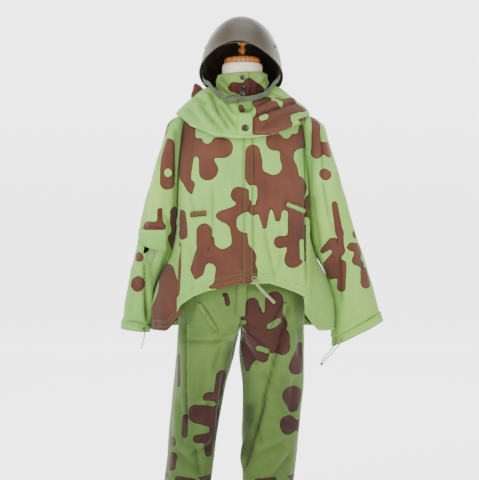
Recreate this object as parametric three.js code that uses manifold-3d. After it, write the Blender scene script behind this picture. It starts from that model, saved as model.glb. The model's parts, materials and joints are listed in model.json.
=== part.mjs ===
// Two-piece hooded camouflage oversuit on a headless display form, with a steel helmet.
// Millimetres, +Z up, the front faces -Y, and left and right are as seen from the front.
// The origin is on the underside of the base plate.
import * as THREE from 'three';
import { mergeVertices } from 'three/addons/utils/BufferGeometryUtils.js';
import Module from 'manifold-3d';

const wasm = await Module();
wasm.setup();

// ---------- driving sizes ----------
const TOUCH = 0.3; // gap between faces that touch
const SEAT = 0.5; // gap between curved pieces that rest on each other
const CLOTH_WALL = 4; // wall of a garment solid, folds included
const BASE = { width: 500, depth: 400, thick: 14, corner: 60, x: -40 };
const NECK_RADIUS = 66;
const NECK_TOP = 1510;
const CAP = { radius: 57, height: 22 };
const CROTCH_HEIGHT = 691;
const TROUSER_HEM = 72;
const WAIST_HEIGHT = 1000;
const WAISTBAND = { height: 36, wall: 7 };
const NECK_EDGE = 1388; // height of the smock's neck seam
const CUFF_BAND = 28;
const CORD_RADIUS = 1.6;
const TAPE = { width: 9, thick: 1.4 };
const HELMET = { halfWidth: 126, halfLength: 146, height: 190, wall: 3, tilt: 24, yaw: -6 };
const HELMET_PLACE = [-6, -24, 1472];
const FINIAL_TOP_RADIUS = 22;
const STRAP = { width: 14.5, thick: 2 };
const BUTTON = { radius: 8, height: 3 };
const THROAT_BUTTON_RADIUS = 11;
const RING_POINTS = 28;
const LIMB_POINTS = 20;
const BOXINESS = 2.3; // 2 is an ellipse, and more is squarer

// ---------- finishes ----------
function finish(color, roughness, metalness = 0) {
  return new THREE.MeshStandardMaterial({ color, roughness, metalness });
}
const GREEN_CLOTH = finish(0x9bbe78, 0.9);
const BROWN_CLOTH = finish(0x7d4b3a, 0.9);
const FORM_CREAM = finish(0xf1e6c8, 0.5);
const TURNED_WOOD = finish(0xc9803f, 0.4);
const OLIVE_STEEL = finish(0x58503c, 0.45, 0.3);
const LINER_LEATHER = finish(0x3a2b1f, 0.7);
const GREY_WEBBING = finish(0x56604c, 0.95);
const DARK_METAL = finish(0x3c3c38, 0.4, 0.8);
const DARK_BUTTON = finish(0x2a2622, 0.35);
const CORD_GREEN = finish(0x808e63, 0.9);
const BASE_STEEL = finish(0xd8d8d4, 0.5, 0.2);

const suit = new THREE.Group();
const helmetGroup = new THREE.Group();
helmetGroup.position.set(...HELMET_PLACE);
helmetGroup.rotation.order = 'ZXY';
const HELMET_TILT = THREE.MathUtils.degToRad(-HELMET.tilt);
const HELMET_YAW = THREE.MathUtils.degToRad(HELMET.yaw);
helmetGroup.rotation.set(HELMET_TILT, 0, HELMET_YAW);
helmetGroup.updateMatrixWorld(true);
suit.add(helmetGroup);

function add(name, geometry, material, parent = suit) {
  const mesh = new THREE.Mesh(geometry, material);
  mesh.name = name;
  parent.add(mesh);
  return mesh;
}

// ---------- lofting ----------
function signedVolume(points, faces) {
  let volume = 0;
  for (const [i, j, k] of faces) {
    const cross = new THREE.Vector3().crossVectors(points[j], points[k]);
    volume += points[i].dot(cross);
  }
  return volume;
}

function toGeometry(points, faces) {
  const outward = signedVolume(points, faces) > 0;
  const geometry = new THREE.BufferGeometry();
  geometry.setFromPoints(points);
  geometry.setIndex(faces.flatMap(([i, j, k]) => (outward ? [i, j, k] : [i, k, j])));
  return geometry;
}

// Skins a row of rings that have equal counts. A loop joins the last ring to the first, and
// otherwise each end is closed by a fan.
function skin(rings, loop = false) {
  const count = rings[0].length;
  const points = rings.flat();
  const faces = [];
  const spans = loop ? rings.length : rings.length - 1;
  for (let r = 0; r < spans; r += 1) {
    const below = r * count;
    const above = ((r + 1) % rings.length) * count;
    for (let k = 0; k < count; k += 1) {
      const next = (k + 1) % count;
      faces.push([below + k, below + next, above + next], [below + k, above + next, above + k]);
    }
  }
  if (!loop) {
    closeEnd(points, faces, rings[0], 0, true);
    closeEnd(points, faces, rings[rings.length - 1], (rings.length - 1) * count, false);
  }
  return toGeometry(points, faces);
}

function closeEnd(points, faces, ring, start, backward) {
  const middle = new THREE.Vector3();
  ring.forEach((p) => middle.add(p));
  middle.divideScalar(ring.length);
  const hub = points.push(middle) - 1;
  for (let k = 0; k < ring.length; k += 1) {
    const next = (k + 1) % ring.length;
    faces.push(backward ? [hub, start + next, start + k] : [hub, start + k, start + next]);
  }
}

// A hoop is an oval given by its left and right points [x, z] and its depth to front and back.
function hoop(left, right, front, back = front, y = 0) {
  return { left, right, front, back, y };
}

function level(z, halfWidth, front, back, x = 0, y = 0) {
  return hoop([x - halfWidth, z], [x + halfWidth, z], front, back, y);
}

function squared(value) {
  return Math.sign(value) * Math.abs(value) ** (2 / BOXINESS);
}

// The point of a hoop at a share of a turn, from its right, counted anticlockwise from above.
function hoopPoint(h, turn) {
  const angle = turn * 2 * Math.PI;
  const across = squared(Math.cos(angle));
  const along = squared(Math.sin(angle));
  const x = (h.left[0] + h.right[0]) / 2 + (across * (h.right[0] - h.left[0])) / 2;
  const z = (h.left[1] + h.right[1]) / 2 + (across * (h.right[1] - h.left[1])) / 2;
  const y = h.y + along * (along < 0 ? h.front : h.back);
  return new THREE.Vector3(x, y, z);
}

function hoopRing(h, count) {
  return Array.from({ length: count }, (_, k) => hoopPoint(h, k / count));
}

// The hoop drawn in on all sides, in its own plane, and lowered by drop.
function shrink(h, by, drop = 0) {
  const rise = h.right[1] - h.left[1];
  const run = h.right[0] - h.left[0];
  const reach = Math.hypot(run, rise);
  const dx = (by * run) / reach;
  const dz = (by * rise) / reach;
  return {
    left: [h.left[0] + dx, h.left[1] + dz - drop],
    right: [h.right[0] - dx, h.right[1] - dz - drop],
    front: h.front - by,
    back: h.back - by,
    y: h.y,
  };
}

function solidOf(hoops, count = LIMB_POINTS) {
  return skin(hoops.map((h) => hoopRing(h, count)));
}

// A tube of cloth, open at both ends. The hoops run from its lowest to its highest.
function tubeOf(hoops, wall, count = LIMB_POINTS) {
  const inner = hoops.map((h) => shrink(h, wall)).reverse();
  return skin([...hoops, ...inner].map((h) => hoopRing(h, count)), true);
}

// A cup of cloth with its mouth at the first hoop.
function cupOf(hoops, wall, count = LIMB_POINTS) {
  const last = hoops.length - 1;
  const inner = hoops.map((h, i) => shrink(h, wall, i === last ? wall : 0)).reverse();
  return skin([...inner, ...hoops].map((h) => hoopRing(h, count)));
}

// A hoop between two of a row, at a height measured at the hoops' middles.
function hoopAt(hoops, z) {
  const height = (h) => (h.left[1] + h.right[1]) / 2;
  const over = Math.max(1, hoops.findIndex((h) => height(h) >= z));
  const low = hoops[over - 1];
  const high = hoops[over];
  const t = (z - height(low)) / (height(high) - height(low));
  const mix = (p, q) => p + (q - p) * t;
  return {
    left: [mix(low.left[0], high.left[0]), mix(low.left[1], high.left[1])],
    right: [mix(low.right[0], high.right[0]), mix(low.right[1], high.right[1])],
    front: mix(low.front, high.front),
    back: mix(low.back, high.back),
    y: mix(low.y, high.y),
  };
}

// ---------- flat and round trim ----------
// A flat band along a line of points, with its face turned outward.
function band(line, width, thick, outward) {
  const rings = line.map((p, i) => {
    const before = line[Math.max(0, i - 1)];
    const after = line[Math.min(line.length - 1, i + 1)];
    const along = new THREE.Vector3().subVectors(after, before).normalize();
    const across = new THREE.Vector3().crossVectors(along, outward(p)).normalize();
    const face = new THREE.Vector3().crossVectors(across, along).normalize();
    const corner = (side, lift) => p.clone()
      .addScaledVector(across, (side * width) / 2)
      .addScaledVector(face, lift);
    return [corner(-1, 0), corner(1, 0), corner(1, thick), corner(-1, thick)];
  });
  return skin(rings);
}

const FRONTWARD = () => new THREE.Vector3(0, -1, 0);

// Where a trim piece lies on a row of hoops: its point, and the direction that it faces.
function spotOn(hoops, z, turn, lift) {
  const h = hoopAt(hoops, z);
  const point = hoopPoint(h, turn);
  const step = 0.001;
  const ahead = hoopPoint(h, turn + step);
  const behind = hoopPoint(h, turn - step);
  const along = new THREE.Vector3().subVectors(ahead, behind).setZ(0).normalize();
  const facing = new THREE.Vector3(along.y, -along.x, 0);
  point.addScaledVector(facing, lift);
  return { point, facing };
}

// Stands a shape, drawn in a plane with its face along +Z, on a spot of a garment.
function place(mesh, spot, slant = 0) {
  const up = new THREE.Vector3(0, 0, 1);
  const side = new THREE.Vector3().crossVectors(up, spot.facing).normalize();
  const basis = new THREE.Matrix4().makeBasis(side, up, spot.facing);
  mesh.quaternion.setFromRotationMatrix(basis);
  mesh.rotateZ(slant);
  mesh.position.copy(spot.point);
  return mesh;
}

function disc(radius, height, sides = 16) {
  const geometry = new THREE.CylinderGeometry(radius * 0.86, radius, height, sides);
  geometry.rotateX(Math.PI / 2);
  geometry.translate(0, 0, height / 2);
  return geometry;
}

function eyelet(radius, hole, height, sides = 12) {
  const profile = [[hole, 0], [radius, 0], [radius * 0.9, height], [hole, height], [hole, 0]];
  const geometry = new THREE.LatheGeometry(profile.map(([r, z]) => new THREE.Vector2(r, z)), sides);
  geometry.rotateX(Math.PI / 2);
  return geometry;
}

function welt(length, height, thick) {
  const geometry = new THREE.BoxGeometry(length, height, thick);
  geometry.translate(0, 0, thick / 2);
  return geometry;
}

function cordAlong(points, across, up, steps) {
  const section = new THREE.Shape();
  const sides = 8;
  for (let k = 0; k < sides; k += 1) {
    const angle = (2 * Math.PI * (k + 0.5)) / sides;
    const x = across * Math.cos(angle);
    const y = up * Math.sin(angle);
    if (k === 0) {
      section.moveTo(x, y);
    } else {
      section.lineTo(x, y);
    }
  }
  const path = new THREE.CatmullRomCurve3(points.map((p) => new THREE.Vector3(...p)));
  return new THREE.ExtrudeGeometry(section, { steps, extrudePath: path, bevelEnabled: false });
}

// ---------- booleans ----------
function toSolid(geometry) {
  const bare = geometry.clone();
  bare.deleteAttribute('normal');
  bare.deleteAttribute('uv');
  const merged = mergeVertices(bare, 1e-4);
  return new wasm.Manifold(new wasm.Mesh({
    numProp: 3,
    vertProperties: Float32Array.from(merged.attributes.position.array),
    triVerts: Uint32Array.from(merged.index.array),
  }));
}

function fromSolid(solid) {
  const mesh = solid.getMesh();
  const geometry = new THREE.BufferGeometry();
  geometry.setAttribute('position', new THREE.BufferAttribute(mesh.vertProperties, 3));
  geometry.setIndex(new THREE.BufferAttribute(mesh.triVerts, 1));
  return geometry;
}

function block(low, high) {
  const size = high.map((v, i) => v - low[i]);
  const geometry = new THREE.BoxGeometry(...size);
  geometry.translate(...low.map((v, i) => v + size[i] / 2));
  return toSolid(geometry);
}

// ---------- display form ----------
const TORSO_MIDDLE = -8;
const SMOCK_SHOULDERS = [
  level(1320, 198, 118, 124),
  level(1346, 190, 104, 110),
  level(1370, 150, 86, 92),
  level(NECK_EDGE, 92, 77, 83),
];
const TORSO_BELOW = [
  level(CROTCH_HEIGHT + 9, 172, 108, 108, TORSO_MIDDLE),
  level(800, 168, 106, 110, TORSO_MIDDLE),
  level(930, 140, 98, 98, TORSO_MIDDLE),
  level(WAIST_HEIGHT, 143, 102, 100, TORSO_MIDDLE),
  level(WAIST_HEIGHT + WAISTBAND.height + 1, 147, 105, 102, TORSO_MIDDLE),
  level(1200, 180, 118, 118),
];
const SHOULDER_DROP = 3;
const TORSO_SHOULDERS = SMOCK_SHOULDERS.map((h) => shrink(h, CLOTH_WALL + SEAT, SHOULDER_DROP));
const NECK_BASE = NECK_EDGE - SHOULDER_DROP;

function buildForm() {
  const plate = new THREE.Shape();
  const halfWidth = BASE.width / 2;
  const halfDepth = BASE.depth / 2;
  const corner = BASE.corner;
  plate.absarc(halfWidth - corner, halfDepth - corner, corner, 0, Math.PI / 2);
  plate.absarc(corner - halfWidth, halfDepth - corner, corner, Math.PI / 2, Math.PI);
  plate.absarc(corner - halfWidth, corner - halfDepth, corner, Math.PI, 1.5 * Math.PI);
  plate.absarc(halfWidth - corner, corner - halfDepth, corner, 1.5 * Math.PI, 2 * Math.PI);
  const options = { depth: BASE.thick, bevelEnabled: false, curveSegments: 6 };
  const base = add('base_plate', new THREE.ExtrudeGeometry(plate, options), BASE_STEEL);
  base.position.x = BASE.x;

  const sole = BASE.thick + TOUCH;
  const hip = CROTCH_HEIGHT + 9 - TOUCH;
  add('left_leg_form', solidOf([
    level(sole, 44, 150, 62, -184),
    level(sole + 22, 46, 148, 64, -184),
    level(sole + 40, 44, 112, 60, -184),
    level(sole + 56, 40, 60, 56, -184),
    level(sole + 92, 37, 48, 48, -183),
    level(300, 50, 52, 64, -164),
    level(480, 54, 62, 58, -138),
    level(hip, 79, 92, 96, -110),
  ]), FORM_CREAM);
  add('right_leg_form', solidOf([
    level(sole, 44, 150, 62, 74),
    level(sole + 22, 46, 148, 64, 74),
    level(sole + 40, 44, 112, 60, 74),
    level(sole + 56, 40, 60, 56, 74),
    level(sole + 92, 37, 48, 48, 75),
    level(300, 50, 52, 64, 85),
    level(480, 54, 62, 58, 92),
    level(hip, 79, 92, 96, 88),
  ]), FORM_CREAM);
  // Its rings run downward, as the smock's inner rings do, so that both surfaces facet alike.
  const torso = [...TORSO_BELOW, ...TORSO_SHOULDERS].reverse();
  add('torso_form', solidOf(torso, RING_POINTS), FORM_CREAM);

  const neckHeight = NECK_TOP - NECK_BASE - TOUCH;
  const neck = new THREE.CylinderGeometry(NECK_RADIUS - 3, NECK_RADIUS, neckHeight, 24);
  neck.rotateX(Math.PI / 2);
  const neckMesh = add('neck_form', neck, FORM_CREAM);
  neckMesh.position.set(-2, 0, NECK_BASE + TOUCH + neckHeight / 2);

  const capProfile = [
    [0, 0], [CAP.radius - 4, 0], [CAP.radius, 5], [CAP.radius, 13], [CAP.radius - 12, CAP.height],
    [0, CAP.height],
  ];
  const cap = add('neck_cap', turned(capProfile, 24), TURNED_WOOD);
  cap.position.set(-2, 0, NECK_TOP + TOUCH);

  const finialBase = NECK_TOP + CAP.height + 2 * TOUCH;
  const restCentre = finialRestCentre() - finialBase;
  const finial = add('cap_finial', turned([
    [0, 0], [15, 0], [15, 5], [7, 10], [13, 20], [13, 27], [6, 34], [6, restCentre - 17],
    ...arcProfile(restCentre, FINIAL_TOP_RADIUS, 6),
  ], 20), TURNED_WOOD);
  finial.position.set(-2, 0, finialBase);
}

function turned(profile, sides) {
  const geometry = new THREE.LatheGeometry(profile.map(([r, z]) => new THREE.Vector2(r, z)), sides);
  geometry.rotateX(Math.PI / 2);
  return geometry;
}

function arcProfile(centre, radius, steps) {
  const start = THREE.MathUtils.degToRad(-50);
  return Array.from({ length: steps + 1 }, (_, i) => {
    const angle = start + ((Math.PI / 2 - start) * i) / steps;
    return [i === steps ? 0 : radius * Math.cos(angle), centre + radius * Math.sin(angle)];
  });
}

// Height of the finial's round top, which touches the cradle of the tilted helmet.
function finialRestCentre() {
  const up = new THREE.Vector3(0, 0, 1).transformDirection(helmetGroup.matrixWorld);
  const origin = new THREE.Vector3(...HELMET_PLACE);
  const across = new THREE.Vector3(-2, 0, 0).sub(origin).setZ(0);
  const room = CRADLE.ceiling - FINIAL_TOP_RADIUS - SEAT - across.dot(up);
  return origin.z + room / up.z;
}

// ---------- trousers ----------
const SEAT_HOOPS = [
  level(CROTCH_HEIGHT + TOUCH, 197, 126, 132, -7),
  level(760, 200, 130, 142, -6),
  level(850, 192, 128, 138, -6),
  hoop(
    [TORSO_MIDDLE - 143 - WAISTBAND.wall, WAIST_HEIGHT],
    [TORSO_MIDDLE + 143 + WAISTBAND.wall, WAIST_HEIGHT],
    102 + WAISTBAND.wall,
    100 + WAISTBAND.wall,
  ),
];
const FRONT = 0.75; // share of a turn that faces the front
const STEP = 1 / RING_POINTS;

function buildTrousers() {
  add('trouser_left_leg', tubeOf([
    hoop([-251, TROUSER_HEM], [-122, TROUSER_HEM], 72, 76),
    hoop([-245, 221], [-98, 221], 80, 84),
    hoop([-232, 355], [-79, 355], 86, 92),
    hoop([-217, 488], [-54, 488], 94, 96),
    hoop([-208, 600], [-26, 600], 108, 112),
    hoop([-204, CROTCH_HEIGHT], [-17, CROTCH_HEIGHT], 124, 130),
  ], CLOTH_WALL), GREEN_CLOTH);
  add('trouser_right_leg', tubeOf([
    hoop([8, TROUSER_HEM], [150, TROUSER_HEM], 72, 76),
    hoop([-3, 221], [166, 221], 80, 84),
    hoop([-6, 355], [177, 355], 86, 92),
    hoop([-3, 488], [187, 488], 94, 96),
    hoop([-13, 600], [190, 600], 108, 112),
    hoop([-16, CROTCH_HEIGHT], [190, CROTCH_HEIGHT], 124, 130),
  ], CLOTH_WALL), GREEN_CLOTH);
  add('trouser_seat', tubeOf(SEAT_HOOPS, CLOTH_WALL, RING_POINTS), GREEN_CLOTH);

  const bandLow = hoopAt(TORSO_BELOW, WAIST_HEIGHT + TOUCH);
  const bandHigh = hoopAt(TORSO_BELOW, WAIST_HEIGHT + WAISTBAND.height);
  const inner = [shrink(bandHigh, -SEAT), shrink(bandLow, -SEAT)];
  const outer = [shrink(bandLow, -WAISTBAND.wall), shrink(bandHigh, -WAISTBAND.wall)];
  add('waistband', skin([...outer, ...inner].map((h) => hoopRing(h, RING_POINTS)), true), GREEN_CLOTH);

  const flyLine = [702, 760, 850, 930].map((z) => {
    const h = hoopAt(SEAT_HOOPS, z);
    return new THREE.Vector3(-12, h.y - h.front - SEAT, z);
  });
  add('fly_placket', band(flyLine, 34, 2, FRONTWARD), GREEN_CLOTH);
  const pocket = { length: 78, height: 12, thick: 2 };
  const slope = THREE.MathUtils.degToRad(58);
  for (const [name, turn, slant] of [
    ['left_hip_pocket_welt', FRONT - 2 * STEP, -slope],
    ['right_hip_pocket_welt', FRONT + 2 * STEP, slope],
  ]) {
    const shape = welt(pocket.length, pocket.height, pocket.thick);
    const spot = spotOn(SEAT_HOOPS, 738, turn, 1.6 * SEAT);
    place(add(name, shape, GREEN_CLOTH), spot, slant);
  }
}

// ---------- smock ----------
const SMOCK_HEM = 680;
const SMOCK_HOOPS = [
  level(SMOCK_HEM, 272, 152, 172),
  level(775, 250, 154, 170),
  level(840, 232, 154, 166),
  level(910, 214, 152, 162),
  level(1005, 208, 150, 154),
  level(1098, 206, 148, 150),
  level(1185, 204, 142, 146),
  level(1266, 202, 132, 138),
  ...SMOCK_SHOULDERS,
];
const FRONT_SEAM = 12; // where the left and right front panels meet
const FRONT_HEM = [
  [-200, 736], [-158, 787], [-118, 804], [-65, 816], [-19, 825], [84, 829], [133, 813], [192, 784],
];

function buildSmock() {
  const shell = toSolid(smockShell());
  const far = 400;
  const low = SMOCK_HEM - 10;
  const high = NECK_EDGE + 10;
  const half = TOUCH / 2;
  const hemCut = hemSolid();
  const left = block([-far, -far, low], [FRONT_SEAM - half, -half, high]);
  const right = block([FRONT_SEAM + half, -far, low], [far, -half, high]);
  const rear = block([-far, half, low], [far, far, high]);
  add('smock_front_left', fromSolid(shell.intersect(left).subtract(hemCut)), GREEN_CLOTH);
  add('smock_front_right', fromSolid(shell.intersect(right).subtract(hemCut)), BROWN_CLOTH);
  add('smock_back', fromSolid(shell.intersect(rear)), GREEN_CLOTH);

  const seamLevels = [836, 910, 1005, 1098, 1185, 1240];
  const seam = seamLevels.map((z) => {
    const h = hoopAt(SMOCK_HOOPS, z);
    return new THREE.Vector3(FRONT_SEAM, -h.front - SEAT, z);
  });
  add('front_placket', band(seam, 26, 1.6, FRONTWARD), GREEN_CLOTH);
  const leftPocket = spotOn(SMOCK_HOOPS, 1038, FRONT - 3 * STEP, SEAT);
  place(add('left_pocket_welt', welt(48, 15, 2), BROWN_CLOTH), leftPocket, 0.3);
  const rightPocket = spotOn(SMOCK_HOOPS, 1057, FRONT + 4 * STEP, SEAT);
  place(add('right_pocket_welt', welt(62, 13, 2), BROWN_CLOTH), rightPocket, -0.35);
  const hemSpot = spotOn(SMOCK_HOOPS, HEM_EYELET_HEIGHT, FRONT + STEP / 2, -SEAT / 2);
  place(add('hem_eyelet', eyelet(9, 5.5, 2), CORD_GREEN), hemSpot);
}

const HEM_EYELET_HEIGHT = 842;

function smockShell() {
  const shoulders = SMOCK_SHOULDERS.length;
  const last = SMOCK_HOOPS.length - shoulders;
  const inner = SMOCK_HOOPS.map((h, i) => shrink(h, CLOTH_WALL, i >= last ? SHOULDER_DROP : 0));
  return skin([...SMOCK_HOOPS, ...inner.reverse()].map((h) => hoopRing(h, RING_POINTS)), true);
}

// The front hem rises to the middle, above the longer sides and back.
function hemSolid() {
  const shape = new THREE.Shape();
  const below = SMOCK_HEM - 20;
  shape.moveTo(FRONT_HEM[0][0], below);
  FRONT_HEM.forEach(([x, z]) => shape.lineTo(x, z));
  shape.lineTo(FRONT_HEM[FRONT_HEM.length - 1][0], below);
  const geometry = new THREE.ExtrudeGeometry(shape, { depth: 300, bevelEnabled: false });
  geometry.rotateX(Math.PI / 2);
  return toSolid(geometry);
}

// ---------- sleeves ----------
const SHOULDER_TOP = 1346;
const ARMHOLE_GAP = 0.7;

function armEdge(z) {
  return hoopAt(SMOCK_HOOPS, z).right[0] + ARMHOLE_GAP;
}


const LEFT_SLEEVE = [
  hoop([-379, 683 + CUFF_BAND], [-293, 671 + CUFF_BAND], 62),
  hoop([-367, 784], [-286, 775], 66),
  hoop([-353, 850], [-262, 840], 70),
  hoop([-338, 920], [-224, 910], 74),
  hoop([-322, 1010], [-armEdge(1005) - 2, 1005], 78),
  ...[[-301, 1098, 82], [-276, 1185, 84], [-251, 1266, 80], [-238, 1320, 66]].map(
    ([x, z, depth]) => hoop([x, z], [-armEdge(z), z], depth)),
  hoop([-228, SHOULDER_TOP], [-206, SHOULDER_TOP], 45),
];
const RIGHT_SLEEVE = [
  hoop([281, 625 + CUFF_BAND], [431, 705 + CUFF_BAND], 54),
  hoop([283, 745], [410, 800], 60),
  hoop([270, 840], [386, 880], 66),
  hoop([232, 910], [372, 930], 72),
  hoop([armEdge(1005) + 2, 1005], [347, 1010], 78),
  ...[[320, 1098, 82], [294, 1185, 84], [270, 1266, 80], [254, 1320, 66]].map(
    ([x, z, depth]) => hoop([armEdge(z), z], [x, z], depth)),
  hoop([206, SHOULDER_TOP], [240, SHOULDER_TOP], 45),
];

function cuffBand(edge, cuff) {
  const top = {
    ...edge,
    left: [edge.left[0], edge.left[1] - TOUCH],
    right: [edge.right[0], edge.right[1] - TOUCH],
  };
  return tubeOf([cuff, top], CLOTH_WALL);
}

const LEFT_CUFF = hoop([-384, 683], [-294, 671], 61);
const RIGHT_CUFF = hoop([279, 625], [440, 705], 52);
const VENT = { low: 912, high: 956, width: 72, x: -276 };
const LIMB_STEP = 1 / LIMB_POINTS;

function buildSleeves() {
  const vent = block(
    [VENT.x - VENT.width / 2, -120, VENT.low],
    [VENT.x + VENT.width / 2, -30, VENT.high],
  );
  add('left_sleeve', fromSolid(toSolid(cupOf(LEFT_SLEEVE, CLOTH_WALL)).subtract(vent)), GREEN_CLOTH);
  add('right_sleeve', cupOf(RIGHT_SLEEVE, CLOTH_WALL), GREEN_CLOTH);
  add('left_cuff_band', cuffBand(LEFT_SLEEVE[0], LEFT_CUFF), GREEN_CLOTH);
  add('right_cuff_band', cuffBand(RIGHT_SLEEVE[0], RIGHT_CUFF), GREEN_CLOTH);

  const strapLine = ventLine([890, 934, 972], SEAT);
  add('left_vent_strap', band(strapLine, 17, 1.6, FRONTWARD), GREEN_CLOTH);
  const flapLift = SEAT + 1.6 + SEAT;
  const flapLine = ventLine([926, 950, 978, 1000], flapLift);
  add('left_vent_flap', band(flapLine, VENT.width + 18, 3, FRONTWARD), GREEN_CLOTH);

  const leftSpot = spotOn([LEFT_CUFF, LEFT_SLEEVE[0]], 690, FRONT + 2 * LIMB_STEP, SEAT);
  place(add('left_cuff_eyelet', eyelet(6, 2.2, 1.6), CORD_GREEN), leftSpot);
  const rightSpot = spotOn([RIGHT_CUFF, RIGHT_SLEEVE[0]], 678, FRONT - 3 * LIMB_STEP, SEAT);
  place(add('right_cuff_eyelet', eyelet(6, 2.2, 1.6), CORD_GREEN), rightSpot);
  const secondSpot = spotOn([RIGHT_CUFF, RIGHT_SLEEVE[0]], 678, FRONT - 2 * LIMB_STEP, SEAT);
  place(add('right_cuff_eyelet_2', eyelet(6, 2.2, 1.6), CORD_GREEN), secondSpot);
}

function ventLine(heights, lift) {
  return heights.map((z) => {
    const h = hoopAt(LEFT_SLEEVE, z);
    return new THREE.Vector3((h.left[0] + h.right[0]) / 2, -h.front - lift, z);
  });
}

// ---------- hood, collar and throat tab ----------
const COWL = [
  { side: 92 + SEAT, front: 77 + SEAT, back: 83 + SEAT, zSide: 1390, zFront: 1390, zBack: 1390 },
  { side: 118, front: 97, back: 104, zSide: 1388, zFront: 1381, zBack: 1384 },
  { side: 152, front: 121, back: 130, zSide: 1381, zFront: 1352, zBack: 1362 },
  { side: 184, front: 138, back: 146, zSide: 1368, zFront: 1312, zBack: 1330 },
  { side: 203, front: 147, back: 152, zSide: 1353, zFront: 1266, zBack: 1290 },
];
const COWL_THICK = 6;

function cowlRing(size, lift) {
  return Array.from({ length: RING_POINTS }, (_, k) => {
    const angle = (2 * Math.PI * k) / RING_POINTS;
    const across = squared(Math.cos(angle));
    const along = squared(Math.sin(angle));
    const end = along < 0 ? size.zFront : size.zBack;
    const z = size.zSide + (end - size.zSide) * along ** 2 + lift;
    const depth = (along < 0 ? size.front : size.back) + lift;
    return new THREE.Vector3(across * (size.side + lift), along * depth, z);
  });
}

function buildHood() {
  const under = COWL.map((size) => cowlRing(size, 0));
  const over = COWL.map((size) => cowlRing(size, COWL_THICK)).reverse();
  add('hood_cowl', skin([...under, ...over], true), GREEN_CLOTH);

  const bagGap = COWL_THICK + SEAT;
  const bag = [
    { z: 1170, half: 30, face: 153, thick: 12 },
    { z: 1200, half: 84, face: 154, thick: 32 },
    { z: 1250, half: 108, face: 156, thick: 44 },
    { z: COWL[4].zBack + COWL_THICK, half: 116, face: COWL[4].back + bagGap, thick: 48 },
    { z: COWL[3].zBack + COWL_THICK, half: 112, face: COWL[3].back + bagGap, thick: 48 },
    { z: COWL[2].zBack + COWL_THICK, half: 92, face: COWL[2].back + bagGap + 1, thick: 46 },
    { z: 1392, half: 62, face: 120, thick: 34 },
  ];
  add('hood_bag', solidOf(bag.map(({ z, half, face, thick }) => (
    level(z, half, thick / 6, (thick * 5) / 6, 0, face + thick / 6)))), GREEN_CLOTH);

  const peakBase = COWL[0].zSide + COWL_THICK + SEAT;
  add('hood_peak', solidOf([
    hoop([-160, peakBase], [-86, peakBase], 34, 34, 52),
    hoop([-166, 1412], [-100, 1412], 32, 32, 60),
    hoop([-164, 1440], [-122, 1440], 24, 24, 68),
    hoop([-162, 1468], [-140, 1462], 10, 10, 72),
  ], 14), BROWN_CLOTH);

  add('collar_veil', skin(veilHoops().map((h) => hoopRing(h, RING_POINTS)), true), GREEN_CLOTH);
  buildVeilTrim();
  buildThroatTab();
}

const VEIL_WALL = 4;
const VEIL_OUTER = [
  level(NECK_EDGE + TOUCH, 92, 77, 83),
  level(1408, 80, 78, 78, -2),
  level(1440, 75, 77, 74, -2),
  hoop([-77, 1474], [73, 1478], 75, 74),
];

function veilHoops() {
  const inner = VEIL_OUTER.map((h) => shrink(h, VEIL_WALL));
  return [...VEIL_OUTER, ...inner.reverse()];
}

function buildVeilTrim() {
  const holds = [
    ['collar_button_top', 1458], ['collar_snap', 1430], ['collar_button_low', 1408],
  ];
  for (const [name, z] of holds) {
    const material = name === 'collar_snap' ? DARK_METAL : DARK_BUTTON;
    const mesh = add(name, disc(BUTTON.radius, BUTTON.height, 12), material);
    place(mesh, spotOn(VEIL_OUTER, z, FRONT, 1.6 * SEAT));
  }
}

// The tab is a strap sewn down from the collar, and below the fold a flap that lifts.
const TAB = { width: 44, thick: 3, lift: 0.7, fold: 1346 };

// A point on the middle of the cowl's front face, at a height.
function cowlFront(z) {
  const line = COWL.slice(1).map((c) => [c.zFront + COWL_THICK, c.front + COWL_THICK]);
  const below = line.findIndex(([height]) => height <= z);
  const [z1, y1] = line[below - 1] ?? line[0];
  const [z2, y2] = line[below];
  const t = z1 === z2 ? 0 : (z - z1) / (z2 - z1);
  return new THREE.Vector3(6, -(y1 + (y2 - y1) * t) - TAB.lift, z);
}

function buildThroatTab() {
  const heights = COWL.slice(1).map((c) => c.zFront + COWL_THICK);
  const [top, shoulder, chest, end] = heights;
  const sewn = [top, shoulder, TAB.fold + TOUCH].map(cowlFront);
  add('throat_strap', band(sewn, TAB.width, TAB.thick, FRONTWARD), GREEN_CLOTH);
  const flap = [TAB.fold - TOUCH, chest, end].map(cowlFront);
  add('throat_tab', band(flap, TAB.width, TAB.thick, FRONTWARD), GREEN_CLOTH);

  const seat = cowlFront((chest + end) / 2);
  seat.y -= TAB.thick + SEAT;
  const slope = Math.atan2(COWL[4].front - COWL[3].front, chest - end);
  const button = add('throat_button', disc(THROAT_BUTTON_RADIUS, 4, 16), DARK_BUTTON);
  place(button, { point: seat, facing: FRONTWARD() });
  button.rotateX(-slope);
}

// ---------- helmet ----------
const CRADLE = { ceiling: 142, thick: 5 };
const HELMET_LEVELS = [0, 0.16, 0.34, 0.52, 0.68, 0.82, 0.93];

// Outline of the helmet at a share of its height, in from its outer face by inset.
function helmetRing(share, inset) {
  const swell = Math.sqrt(1 - share ** 2.35);
  const flare = 1 + 0.045 * (1 - share) ** 8;
  const top = HELMET.height - inset;
  return Array.from({ length: RING_POINTS }, (_, k) => {
    const angle = (2 * Math.PI * k) / RING_POINTS;
    const along = Math.sin(angle);
    const rim = along < 0 ? 30 * along ** 4 : 6 * along ** 2;
    const x = Math.cos(angle) * (HELMET.halfWidth * swell * flare - inset);
    const y = along * (HELMET.halfLength * swell * flare - inset);
    return new THREE.Vector3(x, y, rim + (top - rim) * share);
  });
}

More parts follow.
